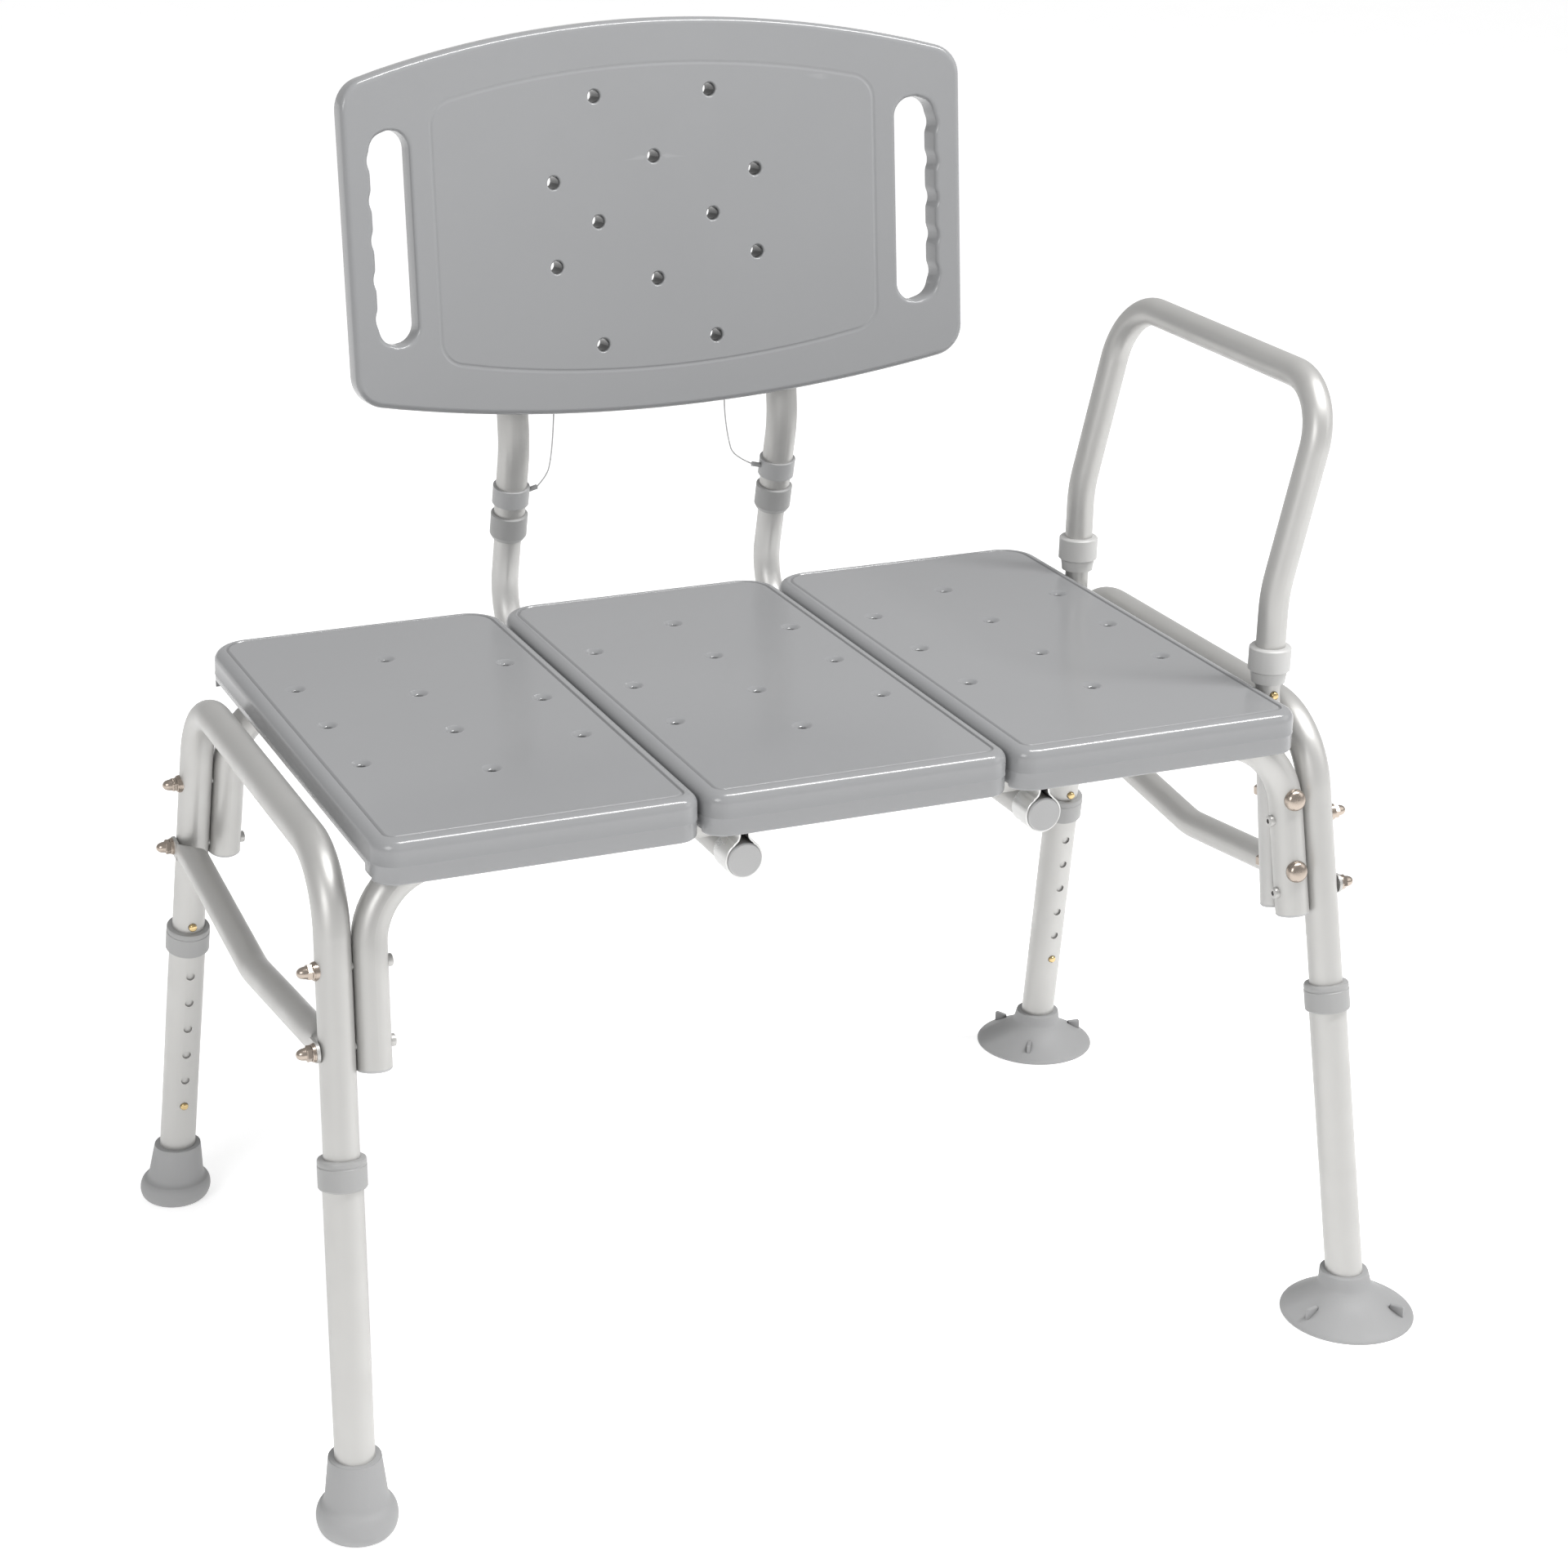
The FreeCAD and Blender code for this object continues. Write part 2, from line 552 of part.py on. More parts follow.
def group_node(label, members):
    """One node made of several separate solids."""
    obj = doc.addObject("Part::Compound", label)
    obj.Links = members
    return keep(obj, label)


def rail_caps():
    cap = new_body("rail_cap_master")
    revolve(cap, [("0", "-dims.rail_cap_thickness"), ("dims.rail_tube_d / 2 - 1", "-dims.rail_cap_thickness"),
                  ("dims.rail_tube_d / 2", "-dims.rail_cap_thickness + 1"), ("dims.rail_tube_d / 2", "0"),
                  ("dims.rail_tube_d / 2 - dims.tube_wall", "0"),
                  ("dims.rail_tube_d / 2 - dims.tube_wall", "dims.rail_cap_plug"),
                  ("0", "dims.rail_cap_plug")])
    places = []
    for side in SIDES.values():
        for end in ENDS.values():
            base = leg_point(side, end, stub_drop(end), STUB_INSET)
            places.append(FreeCAD.Placement(base, leg_rotation(side, end)))
    copies("rail_end_caps", cap, places)


# ---------------------------------------------------------------- legs
def leg(side_name, side, end_name, end):
    """Extension tube, collar, foot and the two snap buttons of one leg."""
    tag = side_name + "_" + end_name
    turn = leg_rotation(side, end)
    top = leg_point(side, end, size("extension_top_drop"))
    stretch = "sqrt(1 + dims.leg_lean_x^2 + dims.leg_lean_y^2)"
    bore = "dims.leg_tube_d / 2 + dims.slide_clearance"

    tube = new_body("leg_extension_" + tag)
    ring = new_sketch(tube, "XY_Plane", "ring_" + tag)
    circle(ring, "0", "0", "dims.extension_d / 2")
    circle(ring, "0", "0", bore)
    pad(tube, ring, "(dims.seat_height - dims.foot_gap - dims.extension_top_drop) * " + stretch, reverse=True)
    hole = new_sketch(tube, "XZ_Plane", "hole_" + tag)
    circle(hole, "0", "-(dims.lower_button_drop - dims.extension_top_drop) * " + stretch,
           "dims.button_hole_d / 2")
    doc.recompute()
    solid_volume = tube.Shape.Volume
    punch = pocket(tube, hole, "dims.extension_d", reverse=True)
    doc.recompute()
    row = tube.newObject("PartDesign::LinearPattern", "holes_" + tag)
    row.Originals = [punch]
    row.Direction = (hole, ["V_Axis"])
    row.setExpression("Length", "dims.hole_pitch * (dims.hole_count - 1)")
    row.setExpression("Occurrences", "dims.hole_count")
    tube.Tip = row
    doc.recompute()
    if not tube.Shape.Volume < solid_volume - 100:
        raise SystemExit("the holes of %s cut nothing" % tag)
    tube.Placement = FreeCAD.Placement(top, turn)
    keep(tube, "leg_extension_" + tag)

    collar = new_body("leg_collar_" + tag)
    radius, lip = "dims.collar_d / 2", "dims.collar_lip"
    bottom = "dims.collar_lip - dims.collar_height"
    revolve(collar, [("dims.extension_d / 2", bottom), (radius + " - 1.5", bottom),
                     (radius, bottom + " + 1.5"), (radius, lip + " - 1.2"), (radius + " - 1.2", lip),
                     (bore, lip), (bore, "0"), ("dims.extension_d / 2", "0")])
    collar.Placement = FreeCAD.Placement(top, turn)
    keep(collar, "leg_collar_" + tag)

    for kind, drop, surface, out in (
            ("upper", size("upper_button_drop"), "dims.leg_tube_d / 2", "dims.button_out"),
            ("lower", size("lower_button_drop"), "dims.extension_d / 2", "dims.lower_button_out")):
        base = leg_point(side, end, drop)
        outward = turn.multVec(Vector(0, -1, 0))
        snap_button("leg_button_%s_%s" % (kind, tag), base, outward, surface, out)


def snap_button(label, axis_point, outward, surface, out):
    """A domed button that stands out of a tube's wall; its Z axis is its travel."""
    body = new_body(label)
    radius = "dims.button_d / 2"
    inside, tip = surface + " - dims.button_in", surface + " + " + out
    revolve(body, [("0", inside), (radius, inside), (radius, tip + " - 1.6"),
                   (radius + " * 0.85", tip + " - 0.6"), (radius + " * 0.45", tip), ("0", tip)])
    body.Placement = FreeCAD.Placement(axis_point, rotation(outward, Vector(0, 0, 1)))
    return keep(body, label)


def leaning_stack(name, side, end, sections):
    """Level circles whose centres follow the leg, skinned from the floor up."""
    rings = []
    for i, (height, radius) in enumerate(sections):
        ring = doc.addObject("Part::Circle", "%s_ring_%d" % (name, i))
        ring.Radius = radius
        ring.Placement.Base = leg_point(side, end, size("seat_height") - height)
        rings.append(ring)
    stack = doc.addObject("Part::Loft", name + "_stack")
    stack.Sections = rings
    stack.Solid = True
    stack.Ruled = True
    return stack


def leg_socket(name, side, end):
    """The space of the extension tube inside a foot."""
    drop = size("seat_height") - size("foot_gap")
    up = leg_point(side, end, 0) - leg_point(side, end, drop)
    return cylinder(name + "_socket", leg_point(side, end, drop), up, "dims.extension_d / 2", "80")


def rubber_tip(end_name, end):
    label = "rubber_tip_left_" + end_name
    profile = [(0, 23), (1.5, 25.3), (4.5, 27.4), (9, 28.6), (14, 28.5), (18, 26.8), (21, 24),
               (24, 22.2), (size("tip_height"), 18.9)]
    stack = leaning_stack(label, -1, end, profile)
    keep(cut(label, stack, [leg_socket(label, -1, end)]), label)


def suction_cup(end_name, end):
    """A cup with a thin rim, a neck for the leg and three lifting tabs."""
    label = "suction_cup_right_" + end_name
    profile = [(0, 51.5), (2, 51.2), (5, 47.5), (9.5, 39.5), (14.5, 31.5), (19, 25.8), (23, 22),
               (27, 20), (size("cup_height"), 18.6)]
    stack = leaning_stack(label, 1, end, profile)
    foot = leg_point(1, end, size("seat_height"))
    tabs = []
    for angle in CUP_TABS[end_name]:
        turn = FreeCAD.Rotation(Vector(0, 0, 1), angle)
        tabs.append(box(label + "_tab", foot + turn.multVec(Vector(33, -1.6, 5)), "11", "3.2", "10.5", turn))
    whole = fuse(label + "_whole", [stack] + tabs)
    dish = doc.addObject("Part::Cone", label + "_dish")
    dish.Radius1 = 48.5
    dish.Radius2 = 6
    dish.setExpression("Height", "dims.cup_dish_depth")
    dish.Placement.Base = foot
    keep(cut(label, whole, [dish, leg_socket(label, 1, end)]), label)


# ---------------------------------------------------------------- grab bar
def grab_bar():
    x = size("bar_x")
    front, back = (size("bar_centre_y") + end * size("bar_half_y") for end in (-1, 1))
    out = x + size("bar_lean") * (size("bar_top") - size("bar_kink"))
    corners = [point(x, front, -size("bar_bottom")), point(x, front, -size("bar_kink")),
               point(out, front, -size("bar_top")), point(out, back, -size("bar_top")),
               point(x, back, -size("bar_kink")), point(x, back, -size("bar_bottom"))]
    bends = [size("bar_kink_bend"), size("bar_corner"), size("bar_corner"), size("bar_kink_bend")]
    tube = bent_tube("grab_bar", corners, bends, "dims.bar_tube_d",
                     "(dims.bar_post_d + 2 * dims.slide_clearance)")
    keep(tube, "grab_bar")

    collar = new_body("grab_bar_collar_master")
    radius, bore = "dims.bar_collar_d / 2", "(dims.bar_post_d / 2 + dims.slide_clearance)"
    bottom, top = "1", "dims.bar_collar_height + 1"
    revolve(collar, [(bore, bottom), (radius + " - 3.2", bottom), (radius + " - 2.2", bottom + " + 8"),
                     (radius, bottom + " + 10"), (radius, top + " - 1.2"), (radius + " - 1.2", top),
                     ("dims.bar_tube_d / 2", top), ("dims.bar_tube_d / 2", "dims.bar_bottom"),
                     (bore, "dims.bar_bottom")])
    copies("grab_bar_collars", collar, [FreeCAD.Placement(point(x, y, 0), FreeCAD.Rotation())
                                        for y in (front, back)])


def grab_bar_posts():
    """Posts bolted behind the right stubs; the grab bar drops over them."""
    x = size("bar_x")
    offset = size("bar_post_offset")
    cap_places, bolt_members, nut_members = [], [], []
    for end_name, end in ENDS.items():
        label = "grab_bar_post_" + end_name
        end_drop = size("bar_post_end_drop")
        foot_y = size("leg_half_y") + size("leg_lean_y") * end_drop - offset
        y = size("bar_half_y") + end * size("bar_centre_y")
        corner_drop = (y + offset - size("leg_half_y")) / size("leg_lean_y")
        corners = [point(x, end * foot_y, end_drop), point(x, end * y, corner_drop),
                   point(x, end * y, -size("bar_post_top"))]
        tube = bent_tube(label, corners, [size("bar_post_bend")], "dims.bar_post_d",
                         "(dims.bar_post_d - 2 * dims.tube_wall)")
        outward = bar_bolt_direction(end)
        tools = []
        for drop in (size("bar_bolt_upper_drop"), size("bar_bolt_lower_drop")):
            centre = bar_bolt_centre(end, drop)
            tools.append(cylinder(label + "_hole", centre - outward * 40, outward,
                                  "dims.bolt_hole_d / 2", "60"))
            back = centre - outward * (offset / math.sqrt(1 + size("leg_lean_y") ** 2)
                                       + size("bar_post_d") / 2)
            front = centre + outward * (size("rail_tube_d") / 2)
            reach = (front - back).Length + size("plain_nut_height") + 1
            shank = cylinder("bar_bolt_shank", front, outward * -1, "dims.bolt_d / 2", "%.3f" % reach)
            bolt_members.append((end, drop, front, outward, shank))
            nut_members.append(FreeCAD.Placement(back, rotation(outward * -1, Vector(1, 0, 0))))
        button = point(x, end * y, size("bar_button_drop"))
        tools.append(cylinder(label + "_button_hole", button, Vector(0, end, 0),
                              "dims.button_hole_d / 2", "20"))
        keep(cut(label, tube, tools), label)
        snap_button("grab_bar_button_" + end_name, button, Vector(0, end, 0), "dims.bar_post_d / 2",
                    "dims.button_out")
        slope = (corners[1] - corners[0]).normalize()
        cap_places.append(FreeCAD.Placement(corners[0], rotation(slope, Vector(1, 0, 0))))

    cap = new_body("bar_post_cap_master")
    plug = "dims.bar_post_d / 2 - dims.tube_wall"
    revolve(cap, [("0", "-2"), ("dims.bar_post_d / 2 - 1", "-2"), ("dims.bar_post_d / 2", "-1"),
                  ("dims.bar_post_d / 2", "0"), (plug, "0"), (plug, "8"), ("0", "8")])
    copies("grab_bar_post_caps", cap, cap_places)

    dome = new_body("dome_master")
    radius, high = "dims.dome_d / 2", "dims.dome_height"
    revolve(dome, [("0", "-2"), (radius, "-2"), (radius, "1.2"),
                   (radius + " * 0.94", high + " * 0.45"), (radius + " * 0.76", high + " * 0.73"),
                   (radius + " * 0.45", high + " * 0.93"), ("0", high)])
    doc.recompute()
    members = []
    for end, drop, front, outward, shank in bolt_members:
        head = doc.addObject("Part::Feature", "dome_head")
        head.Shape = dome.Shape.copy()
        head.Placement = FreeCAD.Placement(front, rotation(outward, Vector(1, 0, 0)))
        hugging = cut("dome_head_hugging", head, [stub_space(1, end, drop)])
        members.append(fuse("bar_bolt_%d_%g" % (end, drop), [shank, hugging]))
    group_node("grab_bar_post_bolts", members)

    nut = new_body("plain_nut_master")
    hexagon = new_sketch(nut, "XY_Plane", "plain_nut_hexagon")
    across, tip = "dims.nut_flats / 2", "dims.nut_flats / sqrt(3)"
    polygon(hexagon, [(tip, "0"), (tip + " / 2", across), ("-" + tip + " / 2", across),
                      ("-" + tip, "0"), ("-" + tip + " / 2", "-" + across), (tip + " / 2", "-" + across)])
    pad(nut, hexagon, "dims.plain_nut_height")
    bore = new_sketch(nut, "XY_Plane", "plain_nut_bore")
    circle(bore, "0", "0", "dims.bolt_d / 2 + 0.02")
    pocket(nut, bore, "dims.plain_nut_height + 1", reverse=True)
    copies("grab_bar_post_nuts", nut, nut_members)


# ---------------------------------------------------------------- backrest carriers
def post_y(height):
    """Y of the posts' line at a height above the seat."""
    return size("post_line_y") - size("post_lean") * height


def back_tube_y(height):
    """Y of the upper tubes' line behind the backrest panel."""
    slope = math.tan(math.radians(size("recline_deg")))
    return post_y(size("back_tube_kink")) + slope * (height - size("back_tube_kink"))


def backrest_carrier(side_name, side):
    """Receiver tube under the seat, L-shaped post, upper tube with its collar."""
    x = size("back_centre_x") + side * size("back_tube_half_x")
    low = size("receiver_drop")
    receiver_label = "backrest_receiver_" + side_name
    start = point(x, size("receiver_front_y"), low)
    outer = cylinder(receiver_label + "_outer", start, Vector(0, 1, 0), "dims.back_tube_d / 2",
                     "dims.receiver_back_y - dims.receiver_front_y")
    bore = cylinder(receiver_label + "_bore", start - Vector(0, 1, 0), Vector(0, 1, 0),
                    "dims.back_post_d / 2 + dims.slide_clearance",
                    "dims.receiver_back_y - dims.receiver_front_y + 2")
    keep(cut(receiver_label, outer, [bore]), receiver_label)

    corners = [point(x, size("post_tail_y"), low), point(x, post_y(-low), low),
               point(x, post_y(size("post_top")), -size("post_top"))]
    post = bent_tube("backrest_post_" + side_name, corners, [size("post_bend")], "dims.back_post_d",
                     "(dims.back_post_d - 2 * dims.tube_wall)")
    keep(post, "backrest_post_" + side_name)

    bottom, kink, top = size("back_tube_bottom"), size("back_tube_kink"), size("back_tube_top")
    corners = [point(x, post_y(bottom), -bottom), point(x, post_y(kink), -kink),
               point(x, back_tube_y(top), -top)]
    tube = bent_tube("backrest_tube_" + side_name, corners, [size("back_kink_bend")],
                     "dims.back_tube_d", "(dims.back_post_d + 2 * dims.slide_clearance)")
    keep(tube, "backrest_tube_" + side_name)

    collar = new_body("backrest_collar_" + side_name)
    radius, inner = "dims.back_collar_d / 2", "(dims.back_post_d / 2 + dims.slide_clearance)"
    high = "dims.back_collar_height - 3"
    revolve(collar, [(inner, "-1.5"), (radius + " - 2", "-1.5"), (radius, "2"), (radius, high + " - 1"),
                     (radius + " - 1", high), ("dims.back_tube_d / 2", high), ("dims.back_tube_d / 2", "0"),
                     (inner, "0")])
    collar.Placement = FreeCAD.Placement(point(x, post_y(bottom), -bottom), post_rotation())
    keep(collar, "backrest_collar_" + side_name)


def post_rotation():
    return rotation(Vector(0, -size("post_lean"), 1), Vector(0, 1, 0))


def receiver_fittings():
    """End caps at the front and the clamps that hang the receivers from the seat."""
    cap = new_body("receiver_cap_master")
    plug = "dims.back_post_d / 2 + dims.slide_clearance"
    revolve(cap, [("0", "-dims.receiver_cap"), ("dims.back_tube_d / 2 - 0.8", "-dims.receiver_cap"),
                  ("dims.back_tube_d / 2", "-dims.receiver_cap + 0.8"), ("dims.back_tube_d / 2", "0"),
                  (plug, "0"), (plug, "9"), ("0", "9")])
    places, members = [], []
    for side in SIDES.values():
        x = size("back_centre_x") + side * size("back_tube_half_x")
        low = size("receiver_drop")
        places.append(FreeCAD.Placement(point(x, size("receiver_front_y"), low),
                                        rotation(Vector(0, 1, 0), Vector(0, 0, 1))))
        for front in (size("receiver_front_y"), -size("receiver_front_y") - size("clamp_width")):
            members.append(clamp(x, front, low))
    copies("receiver_end_caps", cap, places)
    group_node("receiver_clamps", members)


def clamp(x, front, low):
    """A strap round the tube whose two ears reach up to the seat's underside."""
    start = point(x, front, low)
    ring = cylinder("clamp_ring", start, Vector(0, 1, 0), "dims.back_tube_d / 2 + dims.clamp_wall",
                    "dims.clamp_width")
    underside = size("panel_thickness") - size("panel_relief")
    height = low - underside
    ears = []
    for ear in (-1, 1):
        edge = x + ear * size("clamp_ear") - size("clamp_wall") / 2
        ears.append(box("clamp_ear", point(edge, front, low), "dims.clamp_wall", "dims.clamp_width",
                        "%.3f" % height))
    for inner in (size("clamp_ear"), -size("clamp_ear") - size("clamp_flange")):
        ears.append(box("clamp_flange", point(x + inner, front, underside + size("clamp_wall")),
                        "dims.clamp_flange", "dims.clamp_width", "dims.clamp_wall"))
    whole = fuse("clamp_whole", [ring] + ears)
    bore = cylinder("clamp_bore", start - Vector(0, 1, 0), Vector(0, 1, 0), "dims.back_tube_d / 2",
                    "dims.clamp_width + 2")
    rail_y = math.copysign(size("leg_half_y") + size("leg_lean_y") * size("rail_drop"), front)
    rail_space = cylinder("clamp_rail_space", point(x - 30, rail_y, size("rail_drop")), Vector(1, 0, 0),
                          "dims.rail_tube_d / 2 + 0.05", "60")
    return cut("clamp", whole, [bore, rail_space])


# ---------------------------------------------------------------- backrest panel
def back_outline(body, name, half_width, top, bottom, side_top, side_bottom):
    """Straight sides and arched top and bottom edges."""
    sketch = new_sketch(body, "XY_Plane", name)
    w, a, b = size(half_width), size(side_top), size(side_bottom)
    sketch.addGeometry(Part.LineSegment(Vector(w, -b, 0), Vector(w, a, 0)))
    sketch.addGeometry(Part.Arc(Vector(w, a, 0), Vector(0, size(top), 0), Vector(-w, a, 0)))
    sketch.addGeometry(Part.LineSegment(Vector(-w, a, 0), Vector(-w, -b, 0)))
    sketch.addGeometry(Part.Arc(Vector(-w, -b, 0), Vector(0, -size(bottom), 0), Vector(w, -b, 0)))
    for line, sign, first, last in ((0, "", "-dims." + side_bottom, "dims." + side_top),
                                    (2, "-", "dims." + side_top, "-dims." + side_bottom)):
        pin(sketch, line, 1, sign + "dims." + half_width, first)
        pin(sketch, line, 2, sign + "dims." + half_width, last)
    for arc, before, after, middle, side in ((1, 0, 2, top, side_top), (3, 2, 0, bottom, side_bottom)):
        sketch.addConstraint(Sketcher.Constraint("Coincident", before, 2, arc, 1))
        sketch.addConstraint(Sketcher.Constraint("Coincident", arc, 2, after, 1))
        index = sketch.addConstraint(Sketcher.Constraint("Radius", arc, sketch.Geometry[arc].Radius))
        rise = "(dims.%s - dims.%s)" % (middle, side)
        sketch.setExpression("Constraints[%d]" % index,
                             "(dims.%s^2 + %s^2) / (2 * %s)" % (half_width, rise, rise))
    return sketch


def outline_block(name, half_width, top, bottom, side_top, side_bottom, corner):
    body = new_body(name)
    sketch = back_outline(body, name + "_outline", half_width, top, bottom, side_top, side_bottom)
    block = pad(body, sketch, "140", midplane=True)
    round_edges(body, block, corner, lambda e: len(e.Vertexes) == 2 and
                abs(e.Vertexes[0].Point.z - e.Vertexes[1].Point.z) > 100)
    return body


def curved_shell(name, inner, outer):
    """A shell about an upright axis in front of the panel; radii are expressions."""
    start = Vector(0, -400, size("back_curve_radius"))
    big = cylinder(name + "_big", start, Vector(0, 1, 0), outer, "800")
    small = cylinder(name + "_small", start, Vector(0, 1, 0), inner, "800")
    return cut(name + "_shell", big, [small])


def backrest_panel():
    """A curved moulded panel with two grip slots, a groove round the middle and drain holes."""
    block = outline_block("backrest_block", "back_half_width", "back_top", "back_bottom",
                          "back_side_top", "back_side_bottom", "dims.back_corner")
    slots = new_sketch(block, "XY_Plane", "backrest_slots")
    for sign, left, right in (("", "slot_inner", "slot_outer"), ("-", "slot_outer", "slot_inner")):
        rectangle(slots, sign + "dims." + left, sign + "dims." + right,
                  "-dims.slot_half_height", "dims.slot_half_height")
    slot = pocket(block, slots, midplane=True)
    round_edges(block, slot, "dims.slot_corner", lambda e: len(e.Vertexes) == 2 and
                abs(e.Vertexes[0].Point.z - e.Vertexes[1].Point.z) > 100 and
                abs(abs(e.Vertexes[0].Point.y) - size("slot_half_height")) < 0.1)
    fingers = new_sketch(block, "XY_Plane", "backrest_fingers")
    for sign in ("", "-"):
        for step in (-2, -1, 0, 1, 2):
            y = "0" if step == 0 else "%d * dims.finger_pitch" % step
            circle(fingers, sign + "dims.finger_x", y, "dims.finger_r")
    pocket(block, fingers, midplane=True)
    holes = new_sketch(block, "XY_Plane", "backrest_holes")
    for x, y in (("48.7", "97"), ("48.7", "-97"), ("-48.7", "97"), ("-48.7", "-97"),
                 ("0", "48"), ("0", "-48"), ("85.6", "32.8"), ("85.6", "-32.8"),
                 ("-85.6", "32.8"), ("-85.6", "-32.8"), ("48.7", "0"), ("-48.7", "0")):
        circle(holes, x, y, "dims.back_hole_d / 2")
    pocket(block, holes, midplane=True)

    radius = "dims.back_curve_radius"
    shell = curved_shell("backrest", radius, radius + " + dims.back_thickness")
    panel = common("backrest_curved", block, shell)
    outer = outline_block("field_outer", "field_half_width", "field_top", "field_bottom",
                          "field_side_top", "field_side_bottom", "dims.field_corner")
    inner = outline_block("field_inner", "inner_half_width", "inner_top", "inner_bottom",
                          "inner_side_top", "inner_side_bottom", "dims.field_corner - dims.field_groove")
    ring = cut("field_ring", outer, [inner])
    skin = curved_shell("field_skin", radius + " - 1", radius + " + dims.field_groove_depth")
    panel = cut("backrest_grooved", panel, [common("field_groove", ring, skin)])
    up = Vector(0, math.sin(math.radians(size("recline_deg"))), math.cos(math.radians(size("recline_deg"))))
    turn = FreeCAD.Rotation(Vector(1, 0, 0), up, Vector(0, -up.z, up.y), "ZYX")
    panel.Placement = FreeCAD.Placement(point(size("back_centre_x"), size("back_y"), -size("back_z")), turn)
    return keep(panel, "backrest_panel")


# ---------------------------------------------------------------- locking clips and tethers
def lock_clip(side_name, side):
    """A band round the upper tube with a hook towards the middle for the tether."""
    label = "lock_clip_" + side_name
    x = size("back_centre_x") + side * size("back_tube_half_x")
    height = size("clip_z")
    centre = point(x, post_y(height), -height)
    turn = post_rotation()
    up = turn.multVec(Vector(0, 0, 1))
    base = centre - up * (size("clip_height") / 2)
    band = cylinder(label + "_band", base, up, "dims.back_tube_d / 2 + dims.clip_wall", "dims.clip_height")
    hook_start = centre + Vector(-side * (size("back_tube_d") / 2), 0, 1)
    hook = cylinder(label + "_hook", hook_start, Vector(-side, 0, 0.25), "dims.hook_d / 2", "10")
    whole = fuse(label + "_whole", [band, hook])
    bore = cylinder(label + "_bore", base - up, up, "dims.back_tube_d / 2 + 0.05", "dims.clip_height + 2")
    gap = box(label + "_gap", centre + turn.multVec(Vector(-5, 8, -12)), "10", "10", "24", turn)
    keep(cut(label, whole, [bore, gap]), label)
    return hook_start + Vector(-side, 0, 0.25).normalize() * 10


def tether(side_name, points):
    """A thin cord: straight runs joined by arcs as large as the runs allow."""
    radii = []
    for i in range(1, len(points) - 1):
        back, ahead = points[i - 1] - points[i], points[i + 1] - points[i]
        half_turn = (math.pi - back.getAngle(ahead)) / 2
        radii.append(0.45 * min(back.Length, ahead.Length) / math.tan(half_turn))
    print("tether", side_name, "bend radii", ["%.1f" % r for r in radii])
    path = bent_path("tether_%s_path" % side_name, points, radii)
    cord = sweep("tether_" + side_name, path, "dims.tether_d / 2")
    doc.recompute()
    expected = math.pi * (size("tether_d") / 2) ** 2 * path.Shape.Length
    print("tether", side_name, "volume %.1f of %.1f" % (cord.Shape.Volume, expected))
    return keep(cord, "tether_" + side_name)


# ---------------------------------------------------------------- build
for index, name in enumerate(("left", "middle", "right")):
    seat_panel("seat_panel_" + name, index - 1)
for end_name, end in ENDS.items():
    rail(end_name + "_rail", end)
rail_caps()
for side_name, side in SIDES.items():
    leg_frame("leg_frame_" + side_name, side)
    brace("brace_" + side_name, side)
frame_fasteners()
for side_name, side in SIDES.items():
    for end_name, end in ENDS.items():
        leg(side_name, side, end_name, end)
for end_name, end in ENDS.items():
    rubber_tip(end_name, end)
    suction_cup(end_name, end)
grab_bar()
grab_bar_posts()
for side_name, side in SIDES.items():
    backrest_carrier(side_name, side)
receiver_fittings()
backrest_panel()
hook_left = lock_clip("left", -1)
hook_right = lock_clip("right", 1)
tether("left", [hook_left, point(-59.5, 283.5, -88), point(-56.5, 282.5, -101), point(-54.6, 282, -122),
                point(-53.8, 281.5, -144), point(-53.8, 280, -163), point(-53.8, 272, -170)])
tether("right", [hook_right, point(104.6, 283.5, -88), point(99.5, 282.5, -103), point(96, 282, -123),
                 point(94.6, 281.5, -144), point(94.2, 280, -163), point(94.2, 272.5, -170)])

# ---------------------------------------------------------------- check and write
doc.recompute()
for obj in doc.Objects:
    if "Invalid" in obj.State or "Error" in obj.State:
        raise SystemExit("%s failed: %s" % (obj.Label, obj.State))
box_all = FreeCAD.BoundBox()
for obj in nodes:
    if obj.Shape.isNull() or not obj.Shape.isValid():
        raise SystemExit("%s has no valid shape" % obj.Label)
    box_all.add(obj.Shape.optimalBoundingBox(False))
print("box", box_all)
print("centre %.3f %.3f" % (box_all.Center.x, box_all.Center.y), "nodes", len(nodes))

os.makedirs("parts", exist_ok=True)
for obj in nodes:
    print("%-28s %2d solid(s) %10.0f mm3" % (obj.Label, len(obj.Shape.Solids), obj.Shape.Volume))
    obj.Shape.exportStep("parts/%s.step" % obj.Label)
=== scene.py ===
import json
import math

import bmesh
import bpy
from mathutils import Matrix, Vector
from mathutils.geometry import tessellate_polygon


